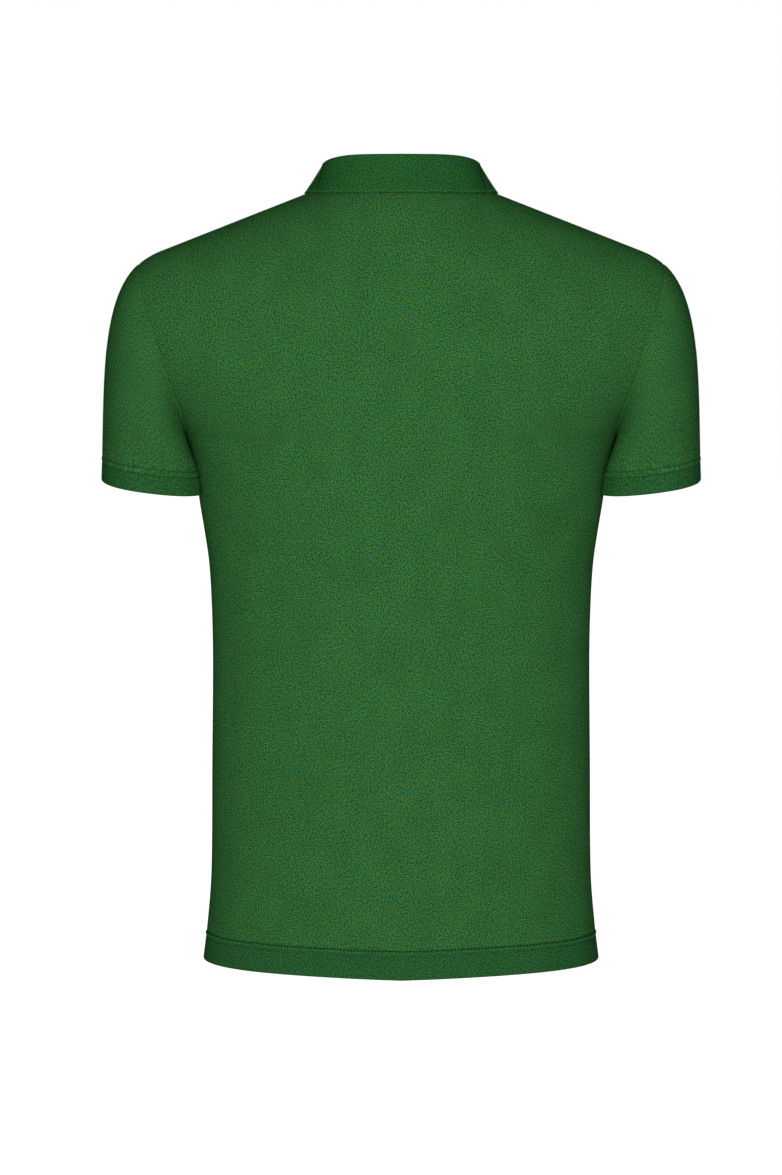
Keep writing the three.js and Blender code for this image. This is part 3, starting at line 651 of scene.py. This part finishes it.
backCloth, backPaths = buildPanel("back_cloth", "back", backPanel, body["backFolds"])
frontCloth, frontPaths = buildPanel("front_cloth", "front", frontPanel, body["frontFolds"])
# the needle rows take the two darker threads, painted shade in their grooves; the loops below take the
# lighter thread, a painted highlight on the puff
needleRun = {"pitch": 3.2, "length": 1.9, "radius": 0.62, "wobble": 0.1, "thread": paintedDeepShadeThread}
secondRun = {"pitch": 2.8, "length": 2.0, "radius": 0.2, "wobble": 0.1, "thread": paintedShadeThread}
loopRun = {"pitch": 3.2, "length": 2.4, "radius": 0.34, "wobble": 0.2}
hemStitches = sewn("stitches_hem", [backPaths[0], frontPaths[0]], needleRun)
hemSecond = sewn("stitches_hem_second", [backPaths[1], frontPaths[1]], secondRun, seed=4)
hemLoops = sewn("stitches_hem_loops", [backPaths[2], frontPaths[2]], loopRun, seed=6)
print("body panels and hem sewn")


# Sleeves, from the armhole loop to the cuff
sleeve = {
    "cuffCentre": (231.4, -8, -276.8),
    "cuffAcross": (51, 0, 6.0),
    "cuffDeep": (0, 63, -4.8),
    "cuffHang": (0.05, -0.04, -1),
    "squareness": 0.84,
    "leaveMiddle": (0.6, 0, -0.78),
    "leaveSwing": (0.15, 0, 0.12),
    "underarmSwing": (0.7, 0, 0.12),
    "leaveSpread": 0.2,
    "startHandle": 0.24,
    "cuffHandle": 0.4,
    "clearance": 1.3,
    "softness": 1.5,
    "clearanceRamp": 0.2,
    "ridgeHeight": 0.35,
    "cuffGroove": 0.65,
    "rollShare": 0.7,         # of the body's roll into the armhole seam
    "armholeGap": 0.345,
    "allowanceDepth": 2.6,
    "allowanceReach": 1.8,
    "turns": 56,
    "fineSteps": 241,
    "seamSteps": [0, 0.7, 1.6, 3.0],
    "plainFrom": 6.0,
    "plainRows": 42,
    "hemSteps": [25.4, 24.2, 23.6, 23, 22.4, 21.7, 20.9, 20.2, 19.4, 18.7, 18, 17.4, 16.8, 16.1, 15,
                 12.5, 9.5, 6.5, 3.4, 1.4, 0.6, 0.2, 0],
    "creaseFades": (6, 30),
    "threadLift": 0.1,
    "folds": [
        ((-30, 30), (20, 120), 12, -1.3),
        ((60, 20), (96, 88), 10, -1.0),
        ((-110, 26), (-74, 120), 12, -1.1),
        ((120, 40), (150, 130), 14, 0.9),
        ((-10, 110), (8, 190), 14, 0.7),
    ],
}


def armholeEdge(panel, turns, column=1.0):
    # a panel's edge by turn: 0 at the shoulder tip, half a turn at the underarm
    columns = np.array([column])
    drop = cut["bladeZ"] - cut["underarmZ"]
    lower = bodyPoints(panel, columns, cut["bladeZ"] + drop * np.minimum(np.cos(turns), 0))[:, 0]
    share = np.maximum(1 - turns / (math.pi / 2), 0)[:, None]
    upper = bezier(yokeControls(panel, columns), share)
    points = np.where((turns > math.pi / 2)[:, None], lower, upper)
    points[:, 1] += panel["side"] * cut["seamGap"] / 2
    return points


def armholeLoop():
    # seam points round the armhole, the panels' normals there, and the way back under each panel
    step = math.pi / sleeve["turns"]
    down = np.arange(sleeve["turns"] + 1) * step
    parts = []
    for panel, turns in ((backPanel, down), (frontPanel, down[-2:0:-1])):
        edge = armholeEdge(panel, turns)
        across = edge - armholeEdge(panel, turns, 0.99)
        above, below = np.maximum(turns - step, 0), np.minimum(turns + step, math.pi)
        rising = armholeEdge(panel, above) - armholeEdge(panel, below)
        normal = unit(np.cross(across, rising) * -panel["side"])
        parts.append((edge, normal, -unit(across), turns, np.full(len(turns), panel["side"])))
    edge, normal, under, turns, side = (np.concatenate(items) for items in zip(*parts))
    for k in (0, sleeve["turns"]):
        edge[k, 1] = 0
        normal[k, 1] = 0
    normal = unit(normal)
    tucked = edge - normal * sleeve["allowanceDepth"] + under * sleeve["allowanceReach"]
    return edge, normal, tucked, turns, side


def clearOfBody(points, clearance, softness):
    # points inside the body's outline go softly out sideways
    x, y, z = np.moveaxis(points, -1, 0)

    def outline(kind):
        back, front = (along(sections["z"], sections[side + kind], z) for side in ("back", "front"))
        return np.where(y >= 0, back, front)

    limit = outline("Half") * np.sqrt(np.maximum(1 - (y / outline("Depth")) ** 2, 0)) + clearance
    over = x - limit
    pushed = limit + (over + np.sqrt(over**2 + softness**2)) / 2
    moved = points.copy()
    moved[..., 0] = np.where((z <= cut["bladeZ"]) & (clearance > 0), pushed, x)
    return moved


def sleeveGrid():
    edge, normal, tucked, turns, side = armholeLoop()
    cosine, sine = np.cos(turns)[:, None], (np.sin(turns) * side)[:, None]
    swing = np.where(cosine > 0, np.array(sleeve["leaveSwing"]), np.array(sleeve["underarmSwing"]))
    leave = np.array(sleeve["leaveMiddle"]) + swing * cosine
    leave[:, 1] = sleeve["leaveSpread"] * sine[:, 0]
    leave = unit(leave)
    opening = np.maximum(2 * np.sum(leave * normal, 1, keepdims=True), 1)
    start = edge + unit(leave + normal * opening) * sleeve["armholeGap"]
    flatCosine = np.sign(cosine) * np.abs(cosine) ** sleeve["squareness"]
    flatSine = np.sign(sine) * np.abs(sine) ** sleeve["squareness"]
    end = np.array(sleeve["cuffCentre"]) + np.array(sleeve["cuffAcross"]) * flatCosine
    end = end + np.array(sleeve["cuffDeep"]) * flatSine
    reach = np.linalg.norm(end - start, axis=1, keepdims=True)
    hang = unit(np.array(sleeve["cuffHang"], float))
    controls = (start, start + leave * reach * sleeve["startHandle"],
                end - hang * reach * sleeve["cuffHandle"], end)
    fine = np.linspace(0, 1, sleeve["fineSteps"])
    length = travelled(bezier([c[None] for c in controls], fine[:, None, None]), 0)
    hem = np.array(sleeve["hemSteps"], float)
    columns = []
    for k in range(len(turns)):
        total = length[-1, k]
        plain = np.linspace(sleeve["plainFrom"], total - hem[0] - 1.2, sleeve["plainRows"])
        places = np.concatenate([sleeve["seamSteps"], plain, total - hem])
        ramp = smoothStep(0, sleeve["clearanceRamp"], places / total)
        at = np.interp(places, length[:, k], fine)[:, None]
        points = bezier([c[k] for c in controls], at)
        columns.append(clearOfBody(points, sleeve["clearance"] * ramp, sleeve["softness"] * ramp))
    return np.stack(columns, 1), tucked


def buildSleeve(name, node, base, tucked, outward):
    normals = gridNormals(base, True, outward)
    uv = clothUv(base, True)
    down = travelled(base, 0)
    fromCuff = down[-1] - down
    around = np.stack([(uv[:, :-1, 0] - uvMiddle) / mm, down], -1)
    roll = -bump(down, 0, body["seamRollWidth"], body["seamRoll"] * sleeve["rollShare"])
    hemTop, hemLow = cut["sleeveHem"], cut["sleeveHem"] - cut["twinNeedle"]
    seamed = -sum(bump(fromCuff, needle, 1.0, sleeve["cuffGroove"]) for needle in (hemTop, hemLow))
    seamed += bump(fromCuff, (hemTop + hemLow) / 2, 1.9, sleeve["ridgeHeight"])
    lift = roll + seamed + creases(around, sleeve["folds"]) * smoothStep(*sleeve["creaseFades"], down)
    outer, inner, _ = hemmedWalls(base, normals, lift, fromCuff, hemTop)
    inner[0] = tucked  # the seam allowance reaches under the body panels, so no light shows through
    # rows are turned over so that the hem comes first, as on the body
    outer, inner, uv, normals = outer[::-1], inner[::-1], uv[::-1], normals[::-1]
    rows = [nearest(fromCuff[::-1, 0], needle) for needle in (hemTop, hemLow)]
    # the cuff band's rows take the darker hem material, painted shade
    piece = clothShell(name, outer, inner, uv, -outward, [pique, hemPaintedShadeCloth], closed=True, bandRow=rows[1])
    dress(piece, node)
    return piece, [(outer[row] + normals[row] * sleeve["threadLift"], True) for row in rows]


sleeveBase, sleeveTucked = sleeveGrid()
mirrored = np.array([-1, 1, 1])
sleeveLeft, leftPaths = buildSleeve("sleeve_left_cloth", "sleeve_left", sleeveBase, sleeveTucked, -1)
sleeveRight, rightPaths = buildSleeve("sleeve_right_cloth", "sleeve_right", sleeveBase * mirrored,
                                      sleeveTucked * mirrored, 1)
# the cuff rows take the darker thread, painted shade in their grooves
cuffRun = {"pitch": 2.6, "length": 2.4, "radius": 0.45, "wobble": 0.08, "thread": paintedShadeThread}
cuffStitches = sewn("stitches_cuffs", leftPaths + rightPaths, cuffRun, seed=5)
print("sleeves sewn")


# Collar: stand, fold and fall in one flat-knit piece
collar = {
    "turns": [0, 0.25, 0.5, 0.75, 1],
    "inward": [6, 7, 6, 6.5, 5],
    "rise": [30, 29.2, 23.5, 21.5, 19.5],
    "foldRadius": 2.2,
    "fallEdgeZ": -6.0,
    "levelSharpness": 12,     # how suddenly the fall's edge drops to the shoulder at the side
    "fallSideX": 88.0,
    "fallLift": 2.2,
    "frontLift": 2.4,
    "pointLift": 0.4,
    "liftSpread": 1.6,
    "ridgeLift": -1.65,
    "ridgeSharpness": 4,
    "standBaseHandle": 0.3,
    "standTopHandle": 0.35,
    "seam": 0.45,
    "sideSeamLift": 0.6,
    "sideLiftFrom": 0.4,
    "sideLiftTo": 0.8,
    "pointZ": -112.0,
    "pointShare": 0.215,
    "pointCurve": 2.5,
    "endX": 2.2,
    "fallRound": 1.15,
    "frontEdgeBend": 0.5,
    "thickness": 1.4,
    "columns": 96,
    "standRows": 13,
    "foldRows": 9,
    "fallRows": 22,
    "fallLength": 60,
    "edgeSteps": [0, 0.2, 0.5, 0.9, 1.4, 2.0, 2.8, 4.0],
    "edgeRound": 1.2,
    "edgeThin": 0.25,
    "lipHeight": 0.2,         # a raised lip at the knitted edge, then a line as deep
    "lipWidth": 0.8,
    "lipAt": 1.4,
    "lineAt": 2.9,
    "stitchInset": 1.5,
    "threadLift": 0.1,
}


def yokeAt(panel, across, up):
    # points above the blades at shares across and up a panel, with their normals
    nudge = 0.004

    def place(a, b):
        return bezier(yokeControls(panel, columnAt(panel, a)), b[:, None])

    point = place(across, up)
    normal = np.cross(place(across + nudge, up) - point, point - place(across, up - nudge)) * -panel["side"]
    point[:, 1] += panel["side"] * cut["seamGap"] / 2
    return point, unit(normal)


def fallSeats(panel, turns):
    # where the fall's edge lies over a panel, found by halving, and how far it stands off
    share = (collar["fallSideX"] - cut["neckHalf"]) / shoulderLength
    sideShare = cut["neckShare"] + (1 - cut["neckShare"]) * share
    down = np.maximum(turns * 2 - 1, 0)
    if panel is backPanel:
        across = sideShare * turns * 2
    else:
        across = sideShare + (collar["pointShare"] - sideShare) * down ** collar["pointCurve"]
    level = collar["fallEdgeZ"]
    level += (shoulderZ(collar["fallSideX"]) - level) * np.sin(math.pi * turns) ** collar["levelSharpness"]
    height = level + (collar["pointZ"] - level) * down
    controls = yokeControls(panel, columnAt(panel, across))
    low, high = np.zeros(len(turns)), np.ones(len(turns))
    for _ in range(24):
        middle = (low + high) / 2
        below = bezier(controls, middle[:, None])[:, 2] < height
        low, high = np.where(below, middle, low), np.where(below, high, middle)
    bulge = collar["frontLift"] * np.maximum(np.sin(math.pi * down), 0) ** collar["liftSpread"]
    ridge = collar["ridgeLift"] * np.maximum(np.sin(math.pi * turns), 0) ** collar["ridgeSharpness"]
    return across, down, low, collar["fallLift"] + bulge + ridge + collar["pointLift"] * down


def collarHalf():
    # middle surface of the collar's +x half: columns from centre back to the front end
    count = collar["columns"]
    backTurns = np.linspace(0, 0.5, count // 2 + 1)
    endAngle = math.asin(collar["endX"] / cut["neckHalf"])
    angles = np.linspace(math.pi / 2, endAngle, count // 2 + 1)[1:]
    frontTurns = 1 - (angles - endAngle) / (math.pi / 2 - endAngle) / 2
    slotAngle = math.asin(frontPanel["slot"] / cut["neckHalf"])
    pastSlot = (angles - slotAngle) / (math.pi / 2 - slotAngle) * cut["neckShare"]
    inSlot = np.sin(angles) * cut["neckHalf"] / frontPanel["slot"] - 1
    column = np.where(angles >= slotAngle, pastSlot, inSlot)
    frontAcross = np.where(column < 0, slotShare * (column + 1), slotShare + (1 - slotShare) * column)
    parts = []
    for panel, turns, across in ((backPanel, backTurns, cut["neckShare"] * 2 * backTurns),
                                 (frontPanel, frontTurns, frontAcross)):
        point, normal = yokeAt(panel, across, np.ones(len(turns)))
        parts.append((panel, turns, across, point, normal, *fallSeats(panel, turns)))
    turns = np.concatenate([p[1] for p in parts])
    rim = np.concatenate([p[3] for p in parts])
    normal = np.concatenate([p[4] for p in parts])
    rim[count // 2, 1] = 0
    tangent = np.gradient(rim, axis=0)
    tangent[0] = (1, 0, 0)
    rise = unit(np.cross(unit(tangent), normal))
    sideAngle = math.pi * (turns - collar["sideLiftFrom"]) / (collar["sideLiftTo"] - collar["sideLiftFrom"])
    atSide = np.maximum(np.sin(sideAngle), 0) * (np.abs(sideAngle) < math.pi)
    seam = collar["seam"] + collar["sideSeamLift"] * atSide
    base = rim - normal * cut["cloth"] / 2 + rise * seam[:, None]
    places = np.array(collar["turns"], float)
    height = along(places, np.array(collar["rise"], float), turns)[:, None]
    inset = along(places, np.array(collar["inward"], float), turns)[:, None]
    inward = unit(rise * np.array([1, 1, 0]))
    fold = rim + inward * inset + np.array([0, 0, 1]) * height
    edges = np.concatenate([yokeAt(p[0], p[5], p[7])[0] for p in parts])
    outward = unit((edges - fold) * np.array([1, 1, 0]))
    radius = collar["foldRadius"]
    up = np.array([0, 0, 1.0])
    centre = fold - up * radius
    standTop, fallTop = centre - outward * radius, centre + outward * radius
    stand = (base, base + rise * height * collar["standBaseHandle"],
             standTop - up * height * collar["standTopHandle"], standTop)
    rows = [bezier(stand, share) for share in np.linspace(0, 1, collar["standRows"])[:-1]]
    for angle in np.linspace(0, math.pi, collar["foldRows"])[:-1]:
        rows.append(centre - outward * radius * math.cos(angle) + up * radius * math.sin(angle))
    edgeShare = 1 - np.array(collar["edgeSteps"][::-1]) / collar["fallLength"]
    rimSeat = np.concatenate([yokeAt(p[0], p[2], np.ones(len(p[1])))[0] for p in parts])
    for share in np.concatenate([np.linspace(0, edgeShare[0], collar["fallRows"])[:-1], edgeShare]):
        pieces = []
        for panel, _, across, _, _, seatAcross, down, seatUp, lift in parts:
            bend = share ** (1 + collar["frontEdgeBend"] * down)
            under, facing = yokeAt(panel, across + (seatAcross - across) * bend, 1 + (seatUp - 1) * share)
            pieces.append(under + facing * (lift * share)[:, None])
        rows.append(np.concatenate(pieces) + (fallTop - rimSeat) * (1 - share) ** collar["fallRound"])
    half = np.stack(rows)
    half[:, 0, 0] = 0
    return half


def buildCollar():
    right = collarHalf()
    middle = np.concatenate([right[:, :0:-1] * mirrored, right], 1)
    normals = gridNormals(middle, False, 1)
    up, across = travelled(middle, 0), travelled(middle, 1)
    fromFallEdge = up[-1] - up
    fromEdge = np.minimum(fromFallEdge, np.minimum(across, across[:, -1:] - across))
    lip, line = (bump(fromFallEdge, collar[at], collar["lipWidth"], collar["lipHeight"])
                 for at in ("lipAt", "lineAt"))
    full = collar["edgeThin"] + (1 - collar["edgeThin"]) * edgeFade(fromEdge, collar["edgeRound"])
    half = collar["thickness"] / 2 * full + (lip - line) * 0.5
    outer = middle + normals * half[..., None]
    inner = middle - normals * half[..., None]
    piece = clothShell("collar_knit", outer, inner, clothUv(middle, False), 1, [rib])
    dress(piece, "collar")
    row = nearest(fromFallEdge[:, middle.shape[1] // 2], collar["stitchInset"])
    return piece, [(outer[row] + normals[row] * collar["threadLift"], False)]


collarKnit, collarPaths = buildCollar()
collarRun = {"pitch": 2.8, "length": 1.9, "radius": 0.34, "wobble": 0.12}
collarStitches = sewn("stitches_collar", collarPaths, collarRun, seed=7)
print("collar knitted")


# Placket: an upper strip over the slot, an under strip behind it
placket = {
    "proud": 1.0,
    "overThickness": 1.6,
    "underDepth": 0.9,
    "underThickness": 1.4,
    "trim": 0.7,
    "stitchInset": 2.2,
    "stitchSink": 0.3,
    "boxHeight": 24.0,
    "cell": 3.2,
    "endSteps": [0.25, 0.6, 1.2],
    "sideSteps": [1, 0.985, 0.96, 0.925, 0.87],
    "edgeRound": 1.1,
    "edgeThin": 0.3,
    "threadLift": 0.12,
}


def placketGrid(columnShares):
    half = frontPanel["slot"] - cut["seamGap"]
    columns = np.abs(columnShares) * half / frontPanel["slot"] - 1
    bottom = cut["underarmZ"] + cut["seamGap"]
    heights = stepsBetween(bottom, cut["bladeZ"], placket["cell"])[:-1]
    heights = np.sort(np.concatenate([heights, bottom + np.array(placket["endSteps"])]))
    lower = bodyPoints(frontPanel, columns, heights)
    shares = np.concatenate([np.linspace(0, 0.975, 24), [0.983, 0.988, 0.992]])
    upper = bezier([c[None] for c in yokeControls(frontPanel, columns)], shares[:, None, None])
    points = np.concatenate([lower, upper])
    points[:, :, 0] *= np.sign(columnShares)
    points[:, :, 1] -= cut["seamGap"] / 2
    return points


def buildStrip(name, node, outerLift, thickness):
    edge = np.array(placket["sideSteps"])
    base = placketGrid(np.concatenate([-edge, np.linspace(-0.78, 0.78, 15), edge[::-1]]))
    normals = gridNormals(base, False, 1)
    up, across = travelled(base, 0), travelled(base, 1)
    fromEdge = np.minimum(np.minimum(up, up[-1] - up), np.minimum(across, across[:, -1:] - across))
    rounded = placket["edgeThin"] + (1 - placket["edgeThin"]) * edgeFade(fromEdge, placket["edgeRound"])
    sunk = -bump(fromEdge, placket["stitchInset"], 0.7, placket["stitchSink"])
    middle = base + normals * (outerLift - thickness / 2)
    half = thickness / 2 * rounded
    outer = middle + normals * (half + sunk)[..., None]
    inner = middle - normals * half[..., None]
    piece = clothShell(name, outer, inner, clothUv(base, False), 1, [pique])
    return dress(piece, node), outer, normals


def placketPaths(outer, normals):
    up, across = travelled(outer, 0), travelled(outer, 1)[0]
    inset = placket["stitchInset"]
    left, right = nearest(across, inset), nearest(across[-1] - across, inset)
    low, box = nearest(up[:, left], inset), nearest(up[:, left], placket["boxHeight"])
    lifted = outer + normals * placket["threadLift"]
    outline = np.concatenate([lifted[:low:-1, left], lifted[low, left:right], lifted[low:, right]])
    return [(outline[2:-2], False), (lifted[box, left:right + 1], False)]


overStrip, overOuter, overNormals = buildStrip("placket_over_cloth", "placket_over", placket["proud"],
                                               placket["overThickness"])
underStrip = buildStrip("placket_under_cloth", "placket_under", -placket["underDepth"],
                        placket["underThickness"])[0]
placketRun = {"pitch": 2.8, "length": 2.4, "radius": 0.26, "wobble": 0.06}
placketStitches = sewn("stitches_placket", placketPaths(overOuter, overNormals), placketRun, seed=11)
print("placket sewn")


# Buttons: dished four-hole buttons sewn on with thread across their holes, each in a worked buttonhole
button = {
    "heights": [-92.0, -141.0, -190.0],
    "gap": 0.5,
    "radius": 5.7,
    "thickness": 2.6,
    "rim": 1.1,
    "dish": 0.7,
    "holeRadius": 0.85,
    "holeSpread": 1.7,
    "segments": 40,
    "pegSegments": 16,
    "sharpDegrees": 35,
    "threadLift": 0.25,
    "strandGap": 0.35,
    "holeLength": 14.0,
    "holeWidth": 1.3,
    "holeLift": 0.1,
    "holeRing": [(-0.5, -1), (-1, -0.86), (-1, 0), (-1, 0.86), (-0.5, 1), (0.5, 1), (1, 0.86), (1, 0),
                 (1, -0.86), (0.5, -1)],
}


def frontSeat(z):
    # point and outward normal at the middle of the front
    if z <= cut["bladeZ"]:
        rows = bodyPoints(frontPanel, np.array([-1.0, -0.9]), [z - 1, z])
        point, across, up = rows[1, 0], rows[1, 1] - rows[1, 0], rows[1, 0] - rows[0, 0]
    else:
        controls = yokeControls(frontPanel, np.array([-1.0, -0.9]))
        shares = np.linspace(0, 1, 400)
        track = bezier([c[0] for c in controls], shares[:, None])
        k = int(np.argmin(np.abs(track[:, 2] - z)))
        point = track[k]
        across = bezier([c[1] for c in controls], shares[k]) - point
        up = track[k] - track[k - 1]
    point = point + np.array([0, -cut["seamGap"] / 2, 0])
    return Vector(point), Vector(unit(np.cross(across, up)))


def circle(radius, z, count, x=0.0, y=0.0):
    turns = [2 * math.pi * k / count for k in range(count)]
    return [(x + radius * math.cos(turn), y + radius * math.sin(turn), z) for turn in turns]


def buttonMesh(name):
    r, t = button["radius"], button["thickness"]
    well = t - button["dish"]
    profile = [(r - 1.0, 0), (r - 0.3, 0.35), (r, t * 0.5), (r - 0.25, t - 0.3), (r - 0.7, t),
               (r - button["rim"], t - 0.12), (r - button["rim"] - 0.9, well)]
    count = button["segments"]
    points, faces = [(0, 0, 0)], []
    for radius, z in profile:
        points.extend(circle(radius, z, count))
    points.append((0, 0, well))
    last, top = len(points) - 1, 1 + (len(profile) - 1) * count
    for k in range(count):
        n = (k + 1) % count
        faces.append((0, 1 + n, 1 + k))
        for a in range(1, top, count):
            faces.append((a + k, a + n, a + count + n, a + count + k))
        faces.append((top + k, top + n, last))
    mesh = newMesh(name, points, [], faces)
    mesh.materials.append(resin)
    return mesh


def pegMesh(name):
    # four plain pegs that cut the sewing holes
    points, faces = [], []
    count, spread = button["pegSegments"], button["holeSpread"]
    for sx, sy in ((1, 1), (-1, 1), (-1, -1), (1, -1)):
        first = len(points)
        for z in (-1, button["thickness"] + 1):
            points.extend(circle(button["holeRadius"], z, count, sx * spread, sy * spread))
        faces.append([first + k for k in range(count)][::-1])
        faces.append([first + count + k for k in range(count)])
        for k in range(count):
            n = (k + 1) % count
            faces.append((first + k, first + n, first + count + n, first + count + k))
    return newMesh(name, points, [], faces)


def drilledMesh():
    cutter = addObject("sewingHoles", pegMesh("sewingHoles"))
    blank = addObject("buttonBlank", buttonMesh("buttonBlank"))
    drill = blank.modifiers.new("holes", "BOOLEAN")
    drill.operation = "DIFFERENCE"
    drill.object = cutter
    drilled = evaluatedMesh(blank)
    bpy.data.objects.remove(blank)
    bpy.data.objects.remove(cutter)
    return drilled


def buildButtons():
    # the buttons, and the paths that their threads and buttonholes are sewn along
    drilled = drilledMesh()
    threads, holes = [], []
    for k, z in enumerate(button["heights"]):
        seat, facing = frontSeat(z)
        turn = facing.to_track_quat("Z", "Y").to_matrix().to_4x4()
        right, up = (turn.to_3x3() @ Vector(axis) for axis in ((1, 0, 0), (0, 1, 0)))
        turn.translation = (seat + facing * (placket["proud"] + button["gap"])) * mm
        mesh = drilled.copy()
        mesh.name = f"button_{k + 1}_dyed"
        mesh.transform(turn)
        smoothFaces(mesh, button["sharpDegrees"])
        dress(addObject(mesh.name, mesh), f"button_{k + 1}")
        well = placket["proud"] + button["gap"] + button["thickness"] - button["dish"]
        top = seat + facing * (well + button["threadLift"])
        for s in (-1, 1):
            for beside in (0, button["strandGap"]):
                strand = top + right * (s * button["holeSpread"]) + right * beside
                threads.append(([list(strand), list(strand + up)], False))
        ground = seat + facing * (placket["proud"] + button["holeLift"])
        lineUp = (Vector((0, 0, 1)) - facing * facing.z).normalized()
        side = facing.cross(lineUp)
        half, wide = button["holeLength"] / 2, button["holeWidth"]
        ring = [list(ground + lineUp * (half * y) + side * (wide * x)) for x, y in button["holeRing"]]
        holes.append((ring, tuple(facing)))
    return threads, holes


threadBars, holeRings = buildButtons()
barRun = {"pitch": 1000, "length": 4.4, "radius": 0.3, "wobble": 0.04}
buttonThread = sewn("button_thread", threadBars, barRun, seed=13)
holeRun = {"pitch": 0.42, "length": 1.5, "radius": 0.2, "across": 1.0, "wobble": 0.1}
holeStitches = [sewn(f"buttonhole_{k + 1}", [(ring, True)], holeRun, facing=facing, seed=17 + k)
                for k, (ring, facing) in enumerate(holeRings)]
print("buttons sewn on")


# Studio: pale seamless floor far below, large soft lights in front of and behind the shirt
studio = {
    "floorZ": -4.5,
    "floorHalf": 60.0,
    "ambient": 0.15,
    "key": 95.0,
    "far": 84.0,
    "lampSize": 1.5,
    "lampAim": (0, 0, -0.36),
}
floorMesh = bpy.data.meshes.new("studioFloor")
f, z = studio["floorHalf"], studio["floorZ"]
floorMesh.from_pydata([(-f, -f, z), (f, -f, z), (f, f, z), (-f, f, z)], [], [(0, 1, 2, 3)])
floorMaterial, floorTree = newMaterial("paleSeamlessPaper")
paint(floorTree, {"Base Color": linear("#f6f6f4"), "Roughness": 0.9,
                  "Emission Color": linear("#ffffff"), "Emission Strength": 1.0})
floorMesh.materials.append(floorMaterial)
floorObject = addObject("studioFloor", floorMesh)
floorObject.visible_diffuse = False

# the background shows white to the camera and lights the cloth only faintly
world = bpy.data.worlds.new("studioWorld")
world.use_nodes = True
world.node_tree.nodes.clear()
path = addNode(world.node_tree, "ShaderNodeLightPath")
strength = addNode(world.node_tree, "ShaderNodeMapRange", {3: studio["ambient"], 4: 1.0},
                   {0: path.outputs["Is Camera Ray"]})
sky = addNode(world.node_tree, "ShaderNodeBackground", {"Color": (1, 1, 1, 1)},
              {"Strength": strength.outputs[0]})
addNode(world.node_tree, "ShaderNodeOutputWorld", links={"Surface": sky.outputs[0]})
bpy.context.scene.world = world


def softLight(name, place, power):
    data = bpy.data.lights.new(name, "AREA")
    data.shape = "DISK"
    data.size = studio["lampSize"]
    data.energy = power
    pointAt(addObject(name, data), place, studio["lampAim"])


softLight("backKey", (0.06, 3.4, 0.05), studio["key"])
softLight("frontKey", (-0.3, -3.4, 0.5), studio["far"])
bpy.context.scene.view_settings.view_transform = "Standard"

print("scene ready")
